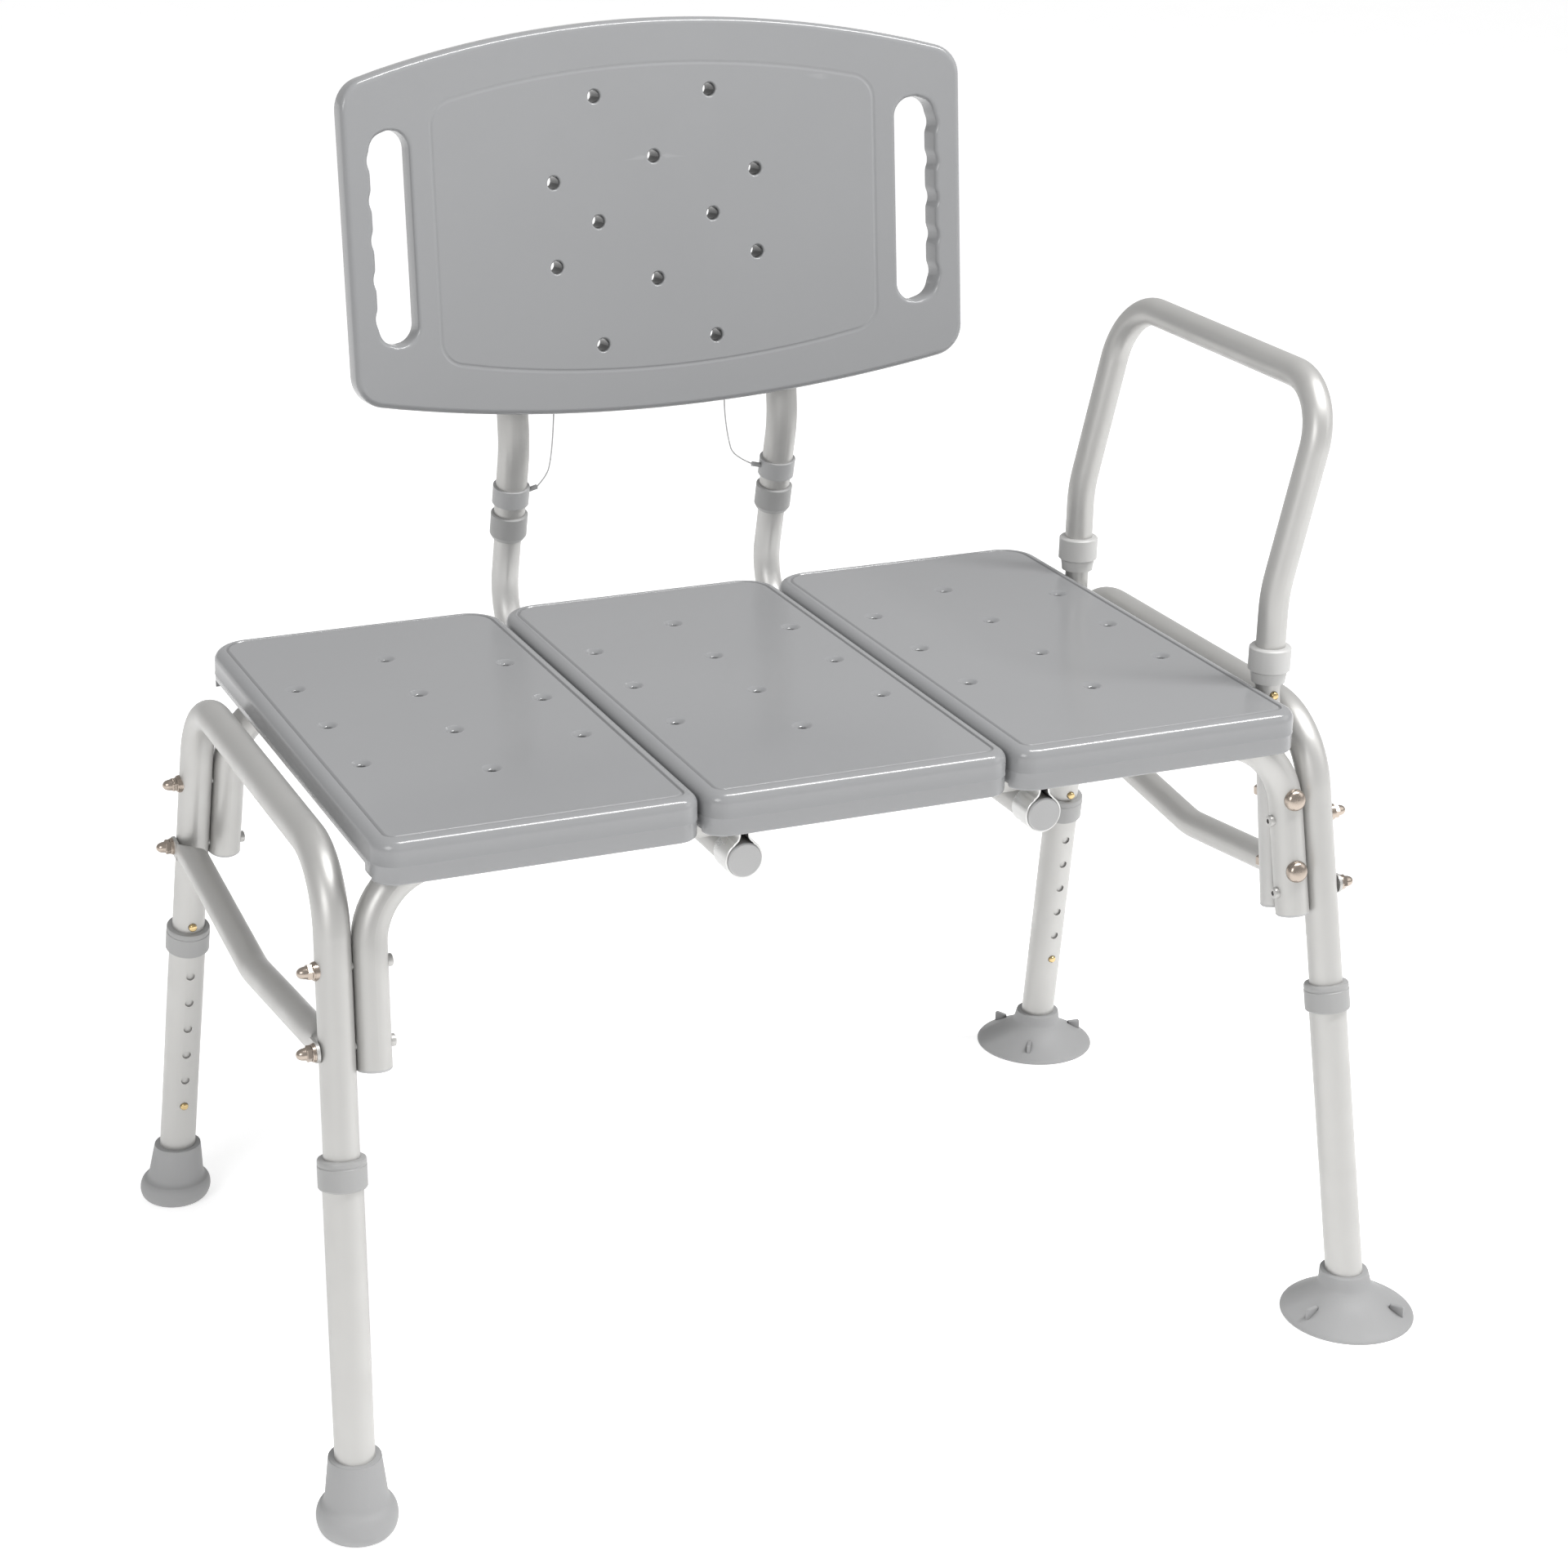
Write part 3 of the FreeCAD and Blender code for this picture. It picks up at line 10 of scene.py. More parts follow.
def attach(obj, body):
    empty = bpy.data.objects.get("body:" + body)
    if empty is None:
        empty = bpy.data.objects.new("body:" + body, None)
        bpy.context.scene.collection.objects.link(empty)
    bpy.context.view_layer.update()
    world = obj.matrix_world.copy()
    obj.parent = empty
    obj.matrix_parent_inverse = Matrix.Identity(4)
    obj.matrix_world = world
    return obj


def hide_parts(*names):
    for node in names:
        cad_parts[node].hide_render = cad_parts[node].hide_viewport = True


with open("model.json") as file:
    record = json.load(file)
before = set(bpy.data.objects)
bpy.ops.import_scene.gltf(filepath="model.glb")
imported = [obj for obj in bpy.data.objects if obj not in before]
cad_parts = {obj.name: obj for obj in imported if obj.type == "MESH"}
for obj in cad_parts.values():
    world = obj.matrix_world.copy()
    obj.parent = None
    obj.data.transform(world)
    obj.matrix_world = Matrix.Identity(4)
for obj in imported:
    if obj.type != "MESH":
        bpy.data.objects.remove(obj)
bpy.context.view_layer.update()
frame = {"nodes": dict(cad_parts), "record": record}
nodes = frame["nodes"]

# The bench's own sizes in mm, as in the CAD. X runs along the bench, Y from front to back, and a "drop" is
# measured down from the seat's top.
SEAT = 489.0            # height of the seat's top above the floor
SHIFT = (11.5, 4.6)     # from the shared frame's origin to the middle of the leg frames
LEG = (380.9, 166.7)    # half the legs' distance in X and Y, level with the seat's top
LEAN = (0.043, 0.1885)  # how far a leg leans outwards per mm of drop
TUBE_R = 12.7           # leg frames, rails and receivers
EXTENSION_R = 14.3
STUB_INSET = 25.6       # from a leg's axis to the rail end beside it
RAIL_Y = 172.73
RAIL_DROP = 32.0
RAIL_CHANNEL_R = 12.8
SEAT_X = -5.5           # the middle seat panel's centre
PANEL_PITCH = 237.5
BACK_X = 28.5           # the backrest's centre
BACK_TUBE_X = 117.5     # half the distance of the backrest's tubes
BAR_X = 359.5           # the grab bar's plane
BAR_Y = (3.0, 148.5)    # its centre and half its width
BAR_POST_R = 9.5
SIDES = {"left": -1, "right": 1}
ENDS = {"front": -1, "back": 1}


def point(x, y, drop):
    return Vector((x - SHIFT[0], y - SHIFT[1], SEAT - drop))


def leg_point(side, end, drop, inset=0.0):
    return point(side * (LEG[0] + LEAN[0] * drop - inset), end * (LEG[1] + LEAN[1] * drop), drop)


# ---------------------------------------------------------------- materials
def material(name, color, rough, metallic=0.0, grain=400.0, bump=0.1, vary=0.05, mottle=9.0,
             ripple=0.0, wear=None):
    """A moulded, rubber or metal finish: colour drift, painted shade in hollows (ambient occlusion darkens
    the colour), uneven gloss, grain and a slow ripple.

    wear is the colour of rubbed edges. The scales of grain and mottle are per metre.
    """
    mat = bpy.data.materials.new(name)
    mat.use_nodes = True
    tree = mat.node_tree
    shader = tree.nodes["Principled BSDF"]
    shader.inputs["Metallic"].default_value = metallic
    place = tree.nodes.new("ShaderNodeTexCoord")

    def noise(scale, detail, low, high):
        """A noise texture spread over low to high."""
        texture = tree.nodes.new("ShaderNodeTexNoise")
        texture.inputs["Scale"].default_value = scale
        texture.inputs["Detail"].default_value = detail
        tree.links.new(place.outputs["Object"], texture.inputs["Vector"])
        ramp = tree.nodes.new("ShaderNodeMapRange")
        ramp.inputs["From Min"].default_value = 0.3
        ramp.inputs["From Max"].default_value = 0.7
        ramp.inputs["To Min"].default_value = low
        ramp.inputs["To Max"].default_value = high
        tree.links.new(texture.outputs["Fac"], ramp.inputs["Value"])
        return ramp.outputs["Result"]

    drift = tree.nodes.new("ShaderNodeMix")
    drift.data_type = "RGBA"
    drift.inputs["A"].default_value = (*[c * (1 - vary) for c in color], 1)
    drift.inputs["B"].default_value = (*[min(1, c * (1 + vary)) for c in color], 1)
    tree.links.new(noise(mottle, 3, 0, 1), drift.inputs["Factor"])
    # painted shade: ambient occlusion within the object darkens the base colour in holes, grooves, creases
    # and corners, down to 5 % of it
    hollow = tree.nodes.new("ShaderNodeAmbientOcclusion")
    hollow.inputs["Distance"].default_value = 0.02
    hollow.only_local = True
    hollow.samples = 8
    shade = tree.nodes.new("ShaderNodeMapRange")
    shade.inputs["From Min"].default_value = 0.2
    shade.inputs["From Max"].default_value = 0.8
    shade.inputs["To Min"].default_value = 0.05
    shade.inputs["To Max"].default_value = 1.0
    tree.links.new(hollow.outputs["AO"], shade.inputs["Value"])
    painted_shade = tree.nodes.new("ShaderNodeVectorMath")
    painted_shade.operation = "SCALE"
    tree.links.new(drift.outputs["Result"], painted_shade.inputs["Vector"])
    tree.links.new(shade.outputs["Result"], painted_shade.inputs["Scale"])
    paint = painted_shade.outputs["Vector"]
    if wear:
        edge = tree.nodes.new("ShaderNodeNewGeometry")
        rub = tree.nodes.new("ShaderNodeMapRange")
        rub.inputs["From Min"].default_value = 0.53
        rub.inputs["From Max"].default_value = 0.62
        tree.links.new(edge.outputs["Pointiness"], rub.inputs["Value"])
        worn = tree.nodes.new("ShaderNodeMix")
        worn.data_type = "RGBA"
        worn.inputs["B"].default_value = (*wear, 1)
        tree.links.new(paint, worn.inputs["A"])
        tree.links.new(rub.outputs["Result"], worn.inputs["Factor"])
        paint = worn.outputs["Result"]
    tree.links.new(paint, shader.inputs["Base Color"])
    tree.links.new(noise(mottle * 4, 4, rough * 0.85, rough * 1.15), shader.inputs["Roughness"])
    fine = tree.nodes.new("ShaderNodeBump")
    fine.inputs["Strength"].default_value = bump
    fine.inputs["Distance"].default_value = 0.0002
    tree.links.new(noise(grain, 2, 0, 1), fine.inputs["Height"])
    if ripple:
        slow = tree.nodes.new("ShaderNodeBump")
        slow.inputs["Strength"].default_value = ripple
        slow.inputs["Distance"].default_value = 0.004
        tree.links.new(noise(14, 1, 0, 1), slow.inputs["Height"])
        tree.links.new(slow.outputs["Normal"], fine.inputs["Normal"])
    tree.links.new(fine.outputs["Normal"], shader.inputs["Normal"])
    return mat


PANEL = material("panel", (0.256, 0.259, 0.264), 0.18, grain=900, bump=0.008, vary=0.015, mottle=5,
                 ripple=0.012, wear=(0.28, 0.284, 0.289))
TUBE = material("tube", (0.48, 0.475, 0.462), 0.42, metallic=0.55, grain=1500, bump=0.04, vary=0.02)
BARE_TUBE = material("bare_tube", (0.49, 0.486, 0.476), 0.42, metallic=0.55, grain=1500, bump=0.04, vary=0.02)
COLLAR = material("collar", (0.31, 0.31, 0.308), 0.42, grain=900, bump=0.06)
PALE_COLLAR = material("pale_collar", (0.48, 0.478, 0.47), 0.42, grain=900, bump=0.06)
RUBBER = material("rubber", (0.31, 0.311, 0.313), 0.62, grain=700, bump=0.15, vary=0.04)
CAP = material("cap", (0.405, 0.405, 0.405), 0.5, grain=900, bump=0.08)
BRASS = material("brass", (0.62, 0.47, 0.24), 0.22, metallic=1.0, grain=1200, bump=0.05)
NICKEL = material("nickel", (0.42, 0.36, 0.31), 0.26, metallic=1.0, grain=1400, bump=0.05, vary=0.1)
STRAP = material("strap", (0.64, 0.64, 0.63), 0.3, metallic=0.8, grain=1500, bump=0.08)
CLIP = material("clip", (0.37, 0.372, 0.375), 0.42, grain=900, bump=0.06)
CORD = material("cord", (0.62, 0.62, 0.62), 0.5, grain=3000, bump=0.3)

FINISH = {"panel": PANEL, "tube": TUBE, "collar": COLLAR, "tip": RUBBER, "cup": RUBBER, "button": BRASS,
          "fastener": NICKEL, "washer": NICKEL, "strap": STRAP, "cap": CAP, "clip": CLIP, "tether": CORD}
for part in frame["record"]["subparts"]:
    mesh = nodes[part["node"]].data
    mesh.materials.clear()
    mesh.materials.append(FINISH[part["material_slot"]])
nodes["grab_bar_collars"].data.materials[0] = PALE_COLLAR
for name in ("backrest_post_left", "backrest_post_right", "grab_bar_post_front", "grab_bar_post_back"):
    nodes[name].data.materials[0] = BARE_TUBE


# ---------------------------------------------------------------- mesh helpers
def piece(name, verts, faces, finish, body, replaced, sharp=35.0):
    """A piece made of vertices in mm."""
    mesh = bpy.data.meshes.new(name)
    mesh.from_pydata([Vector(v) * 0.001 for v in verts], [], faces)
    return dress(name, mesh, finish, body, replaced, sharp)


def dress(name, mesh, finish, body, replaced, sharp=35.0):
    """An object of this mesh that rides a body, shaded smooth apart from edges sharper than an angle."""
    work = bmesh.new()
    work.from_mesh(mesh)
    bmesh.ops.recalc_face_normals(work, faces=work.faces)
    work.to_mesh(mesh)
    work.free()
    mesh.shade_smooth()
    mesh.set_sharp_from_angle(angle=math.radians(sharp))
    mesh.materials.clear()
    mesh.materials.append(finish)
    obj = bpy.data.objects.new(name, mesh)
    bpy.context.scene.collection.objects.link(obj)
    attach(obj, body)
    if replaced:
        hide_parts(*replaced)
    return obj


def skin(rings, closed=True):
    """Vertices and faces of a surface through rings that all have as many points, its ends closed or open."""
    count = len(rings[0])
    verts = [p for ring in rings for p in ring]
    faces = []
    for r in range(len(rings) - 1):
        for i in range(count):
            j = (i + 1) % count
            faces.append((r * count + i, r * count + j, (r + 1) * count + j, (r + 1) * count + i))
    if closed:
        faces.append(tuple(reversed(range(count))))
        faces.append(tuple((len(rings) - 1) * count + i for i in range(count)))
    return verts, faces


def join(shapes):
    """Several (vertices, faces) as one."""
    verts, faces = [], []
    for more_verts, more_faces in shapes:
        base = len(verts)
        verts += more_verts
        faces += [tuple(base + i for i in face) for face in more_faces]
    return verts, faces


def smooth_profile(knots, steps=5):
    """A Catmull-Rom line through (a, b) knots; a repeated knot keeps a corner."""
    line = []
    for i in range(len(knots) - 1):
        p0, p1 = knots[max(i - 1, 0)], knots[i]
        p2, p3 = knots[i + 1], knots[min(i + 2, len(knots) - 1)]
        if p1 == p2:
            continue
        for s in range(steps):
            t = s / steps
            line.append(tuple(0.5 * (2 * p1[k] + (p2[k] - p0[k]) * t
                                     + (2 * p0[k] - 5 * p1[k] + 4 * p2[k] - p3[k]) * t * t
                                     + (3 * p1[k] - p0[k] - 3 * p2[k] + p3[k]) * t ** 3) for k in (0, 1)))
    return line + [knots[-1]]


def frame_axes(axis, hint):
    """Three axes at right angles: the last along axis, the second near hint."""
    z = Vector(axis).normalized()
    y = (Vector(hint) - z * z.dot(Vector(hint))).normalized()
    return y.cross(z), y, z


def turned(profile, origin, axis, hint=(0, 0, 1), count=40):
    """A shape turned about an axis: profile is (height along the axis, radius) pairs."""
    nearly_parallel = 0.95
    if abs(Vector(axis).normalized().dot(Vector(hint))) > nearly_parallel:
        hint = (1, 0, 0)
    x, y, z = frame_axes(axis, hint)
    rings = []
    for height, radius in profile:
        centre = origin + z * height
        turns = [2 * math.pi * i / count for i in range(count)]
        rings.append([centre + (x * math.cos(a) + y * math.sin(a)) * max(radius, 0.01) for a in turns])
    return skin(rings)


def hexagon(origin, axis, hint, flats, low, high, chamfer=0.6):
    """A nut's body: its width across flats, between two heights along the axis."""
    x, y, z = frame_axes(axis, hint)
    rings = []
    for height, width in ((low, flats), (high - chamfer, flats), (high, flats - 2 * chamfer)):
        turns = [math.pi / 6 + i * math.pi / 3 for i in range(6)]
        radius = width / math.sqrt(3)
        rings.append([origin + z * height + (x * math.cos(a) + y * math.sin(a)) * radius for a in turns])
    return skin(rings)


def object_from(shape, name="cutter"):
    """An object that stays in mm, with its doubled vertices joined."""
    mesh = bpy.data.meshes.new(name)
    mesh.from_pydata([Vector(v) for v in shape[0]], [], shape[1])
    work = bmesh.new()
    work.from_mesh(mesh)
    bmesh.ops.remove_doubles(work, verts=work.verts, dist=0.002)
    bmesh.ops.recalc_face_normals(work, faces=work.faces)
    work.to_mesh(mesh)
    work.free()
    obj = bpy.data.objects.new(name, mesh)
    bpy.context.scene.collection.objects.link(obj)
    return obj


def carve(obj, cutters):
    """Cut each shape out of obj, which stays in mm, and return its mesh."""
    for shape in cutters:
        cutter = object_from(shape)
        modifier = obj.modifiers.new("carve", "BOOLEAN")
        modifier.operation = "DIFFERENCE"
        modifier.solver = "EXACT"
        modifier.object = cutter
        bpy.context.view_layer.update()
        depsgraph = bpy.context.evaluated_depsgraph_get()
        result = bpy.data.meshes.new_from_object(obj.evaluated_get(depsgraph))
        obj.modifiers.clear()
        obj.data = result
        bpy.data.objects.remove(cutter)
    mesh = obj.data
    bpy.data.objects.remove(obj)
    return mesh


def corner_outline(corners, steps=10):
    """A closed outline of (x, y, radius) corners, each rounded with an arc."""
    line = []
    count = len(corners)
    for i in range(count):
        here = Vector(corners[i][:2])
        radius = corners[i][2]
        back = (Vector(corners[i - 1][:2]) - here).normalized()
        ahead = (Vector(corners[(i + 1) % count][:2]) - here).normalized()
        half = back.angle(ahead) / 2
        if radius <= 0 or half > 1.55:
            line.append(here)
            continue
        middle = here + (back + ahead).normalized() * (radius / math.sin(half))
        first = here + back * (radius / math.tan(half)) - middle
        turn = math.pi - 2 * half
        sign = 1 if back.x * ahead.y - back.y * ahead.x < 0 else -1
        for s in range(steps + 1):
            line.append(middle + Matrix.Rotation(sign * turn * s / steps, 2) @ first)
    return line


def circle(x, y, radius, count=32):
    """A circle as a closed loop."""
    turns = [2 * math.pi * i / count for i in range(count)]
    return [Vector((x + radius * math.cos(a), y + radius * math.sin(a))) for a in turns]


def at_height(loop, z):
    """A flat loop's points at a height."""
    return [Vector((p.x, p.y, z)) for p in loop]


def flat(loops, z):
    """A flat face at a height, bounded by the first loop and pierced by the others."""
    loops = [at_height(loop, z) for loop in loops]
    return [p for loop in loops for p in loop], [tuple(t) for t in tessellate_polygon(loops)]


# ---------------------------------------------------------------- seat panels
PANEL_HALF = 117.5
PANEL_Y = (-211.0, 232.0)
PANEL_DEPTH = 32.0
PANEL_EDGE = 8.4        # the top edge's rounding
GROOVE_END = 12.3       # from the panel's side to the flat inside its edge groove
DRAIN_PITCH = 82.5
DRAIN_Y = 18.8
DRAINS = [(-1, -1), (-1, 0), (-1, 1), (0, -1.5), (0, -0.5), (0, 0.5), (0, 1.5), (1, -1), (1, 0), (1, 1)]
BEYOND = 130.0          # past the panel's side, for a cutter


def seat_ring(inset, z):
    """The panel's plan outline, moved inwards, at a height."""
    w, front, back = PANEL_HALF - inset, PANEL_Y[0] + inset, PANEL_Y[1] - inset
    r_front, r_back = max(18 - inset, 6), max(30 - inset, 8)
    line = corner_outline([(-w, front, r_front), (w, front, r_front), (w, back, r_back), (-w, back, r_back)])
    return at_height(line, z)


def hollow(x_from, x_to, y_from, y_to, corner, ceiling):
    """A cutter that hollows the underside up to a ceiling."""
    plan = corner_outline([(x_from, y_from, corner), (x_to, y_from, corner), (x_to, y_to, corner),
                           (x_from, y_to, corner)], 4)
    return skin([at_height(plan, z) for z in (-PANEL_DEPTH - 8, ceiling)])


def seat_panel_mesh(index):
    """One panel round its own middle: index -1, 0 or 1 from the left."""
    # up the outside: bottom edge, mould line, rounded top edge, groove
    rings = [seat_ring(2.6, -32), seat_ring(1.2, -31.7), seat_ring(0.3, -30.8), seat_ring(0, -29.4),
             seat_ring(0, -19.0), seat_ring(-0.25, -18.6), seat_ring(-0.25, -18.2), seat_ring(0, -17.8)]
    for s in range(10):
        a = s / 9 * math.pi / 2
        rings.append(seat_ring(PANEL_EDGE * (1 - math.cos(a)), -PANEL_EDGE + PANEL_EDGE * math.sin(a)))
    rings += [seat_ring(8.9, 0), seat_ring(9.2, -0.2), seat_ring(9.5, -0.9), seat_ring(10, -1.2),
              seat_ring(10.6, -1.0), seat_ring(11.3, -0.3), seat_ring(11.8, 0),
              seat_ring(GROOVE_END, 0)]
    drains = [(column * DRAIN_PITCH, DRAIN_Y + row * DRAIN_PITCH) for column, row in DRAINS]
    sink = [(8.2, 0), (7.6, 0), (6.9, -0.25), (5.6, -1.0), (4.4, -1.9), (3.4, -2.5), (3.0, -3.2),
            (3.0, -PANEL_DEPTH)]
    wide, narrow = sink[0][0], sink[-1][0]
    shapes = [skin(rings, False)]
    for x, y in drains:
        shapes.append(skin([at_height(circle(x, y, r), z) for r, z in sink], False))
    shapes.append(flat([seat_ring(GROOVE_END, 0)] + [circle(x, y, wide) for x, y in drains], 0))
    shapes.append(flat([seat_ring(2.6, 0)] + [circle(x, y, narrow) for x, y in drains], -PANEL_DEPTH))
    # the rail channels of an outer panel stop 10 mm short of the bench's end
    channel = [(10 - PANEL_HALF if index < 0 else -BEYOND, RAIL_CHANNEL_R),
               (PANEL_HALF - 10 if index > 0 else BEYOND, RAIL_CHANNEL_R)]
    cutters = [turned(channel, Vector((0, y, -RAIL_DROP)), (1, 0, 0), count=48) for y in (-RAIL_Y, RAIL_Y)]
    cutters.append(hollow(-BEYOND, BEYOND, PANEL_Y[0] + 14, PANEL_Y[1] - 14, 4, -28.5))
    if index:
        # the wall at the bench's end is shallower between its corner feet
        inner, outer = sorted((index * (PANEL_HALF - 14), index * BEYOND))
        cutters.append(hollow(inner, outer, PANEL_Y[0] + 27, PANEL_Y[1] - 27, 3, -23))
    return carve(object_from(join(shapes), "panel_blank"), cutters)


for index, name in ((-1, "left"), (0, "middle"), (1, "right")):
    mesh = seat_panel_mesh(index)
    shift = point(SEAT_X + index * PANEL_PITCH, 0, 0)
    mesh.transform(Matrix.Scale(0.001, 4) @ Matrix.Translation(shift))
    dress("seat_" + name + "_skin", mesh, PANEL, "frame", ["seat_panel_" + name], 40)


# ---------------------------------------------------------------- backrest panel
RECLINE = math.radians(6.36)
CURVE = 1667.0          # the front face is bent round an upright axis this far in front of it
THICK = 22.0
SLOT_HALF = 82.0
SLOT_X = (205.0, 238.0)
SLOT_END_R = 15.5
FINGER_R = 14.0         # the scallops for the fingers
FINGER_X = 226.0
FINGER_PITCH = 30.0


def back_outline(half, top, bottom, side_top, side_bottom, corner, inset=0.0):
    """Straight sides and arched top and bottom, as a closed line in the panel's plane."""
    arch = [i for i in range(1, 28) if abs(1 - i / 14) * half < half - corner * 1.3]
    half, top, bottom = half - inset, top - inset, bottom - inset
    side_top, side_bottom, corner = side_top - inset, side_bottom - inset, max(corner - inset, 2)
    corners = [(half, -side_bottom, corner), (half, side_top, corner)]
    for edge, middle, sign in ((side_top, top, 1), (side_bottom, bottom, -1)):
        if sign < 0:
            corners += [(-half, side_top, corner), (-half, -side_bottom, corner)]
        radius = (half ** 2 + (middle - edge) ** 2) / (2 * (middle - edge))
        for i in arch:
            x = sign * half * (1 - i / 14)
            corners.append((x, sign * (middle - radius + math.sqrt(radius ** 2 - x ** 2)), 0))
    return corner_outline(corners)


def slot_outline(side, grow):
    """A grip slot: straight inner edge, finger scallops on the outer edge, round ends."""
    inner, outer = [], []
    steps = 180
    half = SLOT_HALF + grow
    for i in range(steps + 1):
        y = -half + 2 * half * i / steps
        end = max(abs(y) - (half - SLOT_END_R), 0)
        tuck = SLOT_END_R - math.sqrt(max(SLOT_END_R ** 2 - end ** 2, 0))
        reach = SLOT_X[1]
        for finger in range(-2, 3):
            away = abs(y - FINGER_PITCH * finger)
            if away < FINGER_R:
                reach = max(reach, FINGER_X + math.sqrt(FINGER_R ** 2 - away ** 2))
        inner.append((SLOT_X[0] - grow + tuck, y))
        outer.append((reach + grow - tuck, y))
    for _ in range(6):
        smooth = [(outer[i - 1][0] + 2 * outer[i][0] + outer[i + 1][0]) / 4 for i in range(1, steps)]
        outer = [outer[0]] + [(x, outer[i + 1][1]) for i, x in enumerate(smooth)] + [outer[-1]]
    line = outer + inner[::-1]
    return [Vector((side * x, y)) for x, y in line]


def backrest_mesh():
    """The panel, drawn flat in mm, then cut into strips, bent and leant back."""
    def outline(inset):
        return back_outline(259.5, 154, 152, 117, 124, 25, inset)

    def field(inset):
        return back_outline(188, 121, 120, 100, 100, 22, inset)

    def rounded(radius, flats):
        """(Inset, height) pairs from the flat front, over a rounded edge, to the flat back."""
        front = [(r, 0) for r in flats]
        for turn in [math.radians(a) for a in range(90, -1, -15)]:
            front.append((radius - radius * math.cos(turn), radius * math.sin(turn) - radius))
        return front + [(r, -THICK - z) for r, z in reversed(front)]

    holes = [(x * sx, y * sy) for x, y in ((48.7, 97), (85.6, 32.8)) for sx in (-1, 1) for sy in (-1, 1)]
    holes += [(0, 48), (0, -48), (48.7, 0), (-48.7, 0)]
    rim = rounded(4.6, (5.6, 5.1))
    shapes = [skin([at_height(outline(r), z) for r, z in rim], False)]
    edge = rounded(3.0, (3.8, 3.4))
    for side in (-1, 1):
        shapes.append(skin([at_height(slot_outline(side, r), z) for r, z in edge], False))
    groove = [(-1.2, 0), (-0.7, 0), (-0.2, -0.04), (0.3, -0.2), (0.8, -0.45), (1.5, -0.6), (2.2, -0.45),
              (2.7, -0.2), (3.2, -0.04), (3.7, 0), (4.2, 0)]
    shapes.append(skin([at_height(field(r), z) for r, z in groove], False))
    sink = [(7.2, 0), (6.7, 0), (6.3, -0.1), (5.8, -0.4), (5.35, -1.0), (5.1, -1.8), (5.0, -3.0),
            (5.0, -THICK)]
    for x, y in holes:
        shapes.append(skin([at_height(circle(x, y, r), z) for r, z in sink], False))
    slots = [slot_outline(side, edge[0][0]) for side in (1, -1)]
    shapes.append(flat([outline(rim[0][0]), field(groove[0][0])] + slots, 0))
    shapes.append(flat([field(groove[-1][0])] + [circle(x, y, sink[0][0]) for x, y in holes], 0))
    shapes.append(flat([outline(rim[0][0])] + slots + [circle(x, y, sink[-1][0]) for x, y in holes], -THICK))
    verts, faces = join(shapes)
    mesh = bpy.data.meshes.new("backrest_skin")
    mesh.from_pydata(verts, [], faces)
    work = bmesh.new()
    work.from_mesh(mesh)
    bmesh.ops.remove_doubles(work, verts=work.verts, dist=0.002)
    # strips 10.3 mm wide; the odd offset keeps the cuts off the drawn vertices
    for i in range(-25, 26):
        everything = work.verts[:] + work.edges[:] + work.faces[:]
        bmesh.ops.bisect_plane(work, geom=everything, plane_co=(i * 10.3 + 0.137, 0, 0), plane_no=(1, 0, 0))
    up = Vector((0, math.sin(RECLINE), math.cos(RECLINE)))
    out = Vector((0, -math.cos(RECLINE), math.sin(RECLINE)))
    base = point(BACK_X, 267.7, -295.2)
    for vert in work.verts:
        u, v, w = vert.co
        depth = w + CURVE - math.sqrt(CURVE ** 2 - u ** 2)
        vert.co = (base + Vector((u, 0, 0)) + up * v + out * depth) * 0.001
    work.to_mesh(mesh)
    work.free()
    return mesh


dress("backrest_skin", backrest_mesh(), PANEL, "backrest", ["backrest_panel"], 30)


# ---------------------------------------------------------------- feet
def leaning(side, end, profile, count=64):
    """Level rings whose centres follow the leg up from the floor."""
    rings = []
    for height, radius in profile:
        centre = leg_point(side, end, SEAT - height)
        turns = [2 * math.pi * i / count for i in range(count)]
        rings.append([centre + Vector((math.cos(a), math.sin(a), 0)) * radius for a in turns])
    return skin(rings)


# (height, radius) pairs from the floor up; the cup starts inside its dish
TIP = smooth_profile([(0, 18), (0, 18), (0, 22.2), (0.4, 23.8), (1.8, 25.6), (4.5, 27.4), (9, 28.6),
                      (13, 28.6), (16.5, 27.8), (19.2, 26.2), (20.6, 24.4), (22.4, 23), (26, 22.1),
                      (38, 20.6), (51.4, 18.9), (52.6, 18.3), (53, 17.4), (53, 14.5)], 4)
CUP = smooth_profile([(8, 6), (6, 18), (3.2, 34), (0.6, 48), (0, 50), (0.3, 51.2), (1.4, 51.4), (3, 50.2),
                      (5.4, 46.6), (9.5, 39.4), (14.5, 31.4), (19, 25.7), (23, 22), (26.5, 20.2),
                      (33.6, 18.9), (35, 18), (35, 14.5)], 4)
# the directions of each cup's three lift fins, in degrees from +X
FINS = {"front": (72, 192, 312), "back": (115, 235, 355)}
for end_name, end in ENDS.items():
    name = "left_" + end_name
    verts, faces = leaning(-1, end, TIP)
    piece("tip_" + name + "_skin", verts, faces, RUBBER, "leg_" + name, ["rubber_tip_" + name], 50)

    name = "right_" + end_name
    foot = leg_point(1, end, SEAT)
    fins = []
    for angle in FINS[end_name]:
        a = math.radians(angle)
        radial, across = Vector((math.cos(a), math.sin(a), 0)), Vector((-math.sin(a), math.cos(a), 0))
        rings = []
        for offset, shrink in ((-1.6, 0.6), (-1.1, 0), (1.1, 0), (1.6, 0.6)):
            near, far, top = 33 + shrink, 44 - shrink, 15.5 - shrink
            side_line = corner_outline([(near, 5, 0), (far, 5, 0), (far, top, 1.2), (near, top, 1.2)], 4)
            rings.append([foot + radial * p.x + across * offset + Vector((0, 0, p.y)) for p in side_line])
        fins.append(skin(rings))
    verts, faces = join([leaning(1, end, CUP, 96)] + fins)
    piece("cup_" + name + "_skin", verts, faces, RUBBER, "leg_" + name, ["suction_cup_" + name], 45)


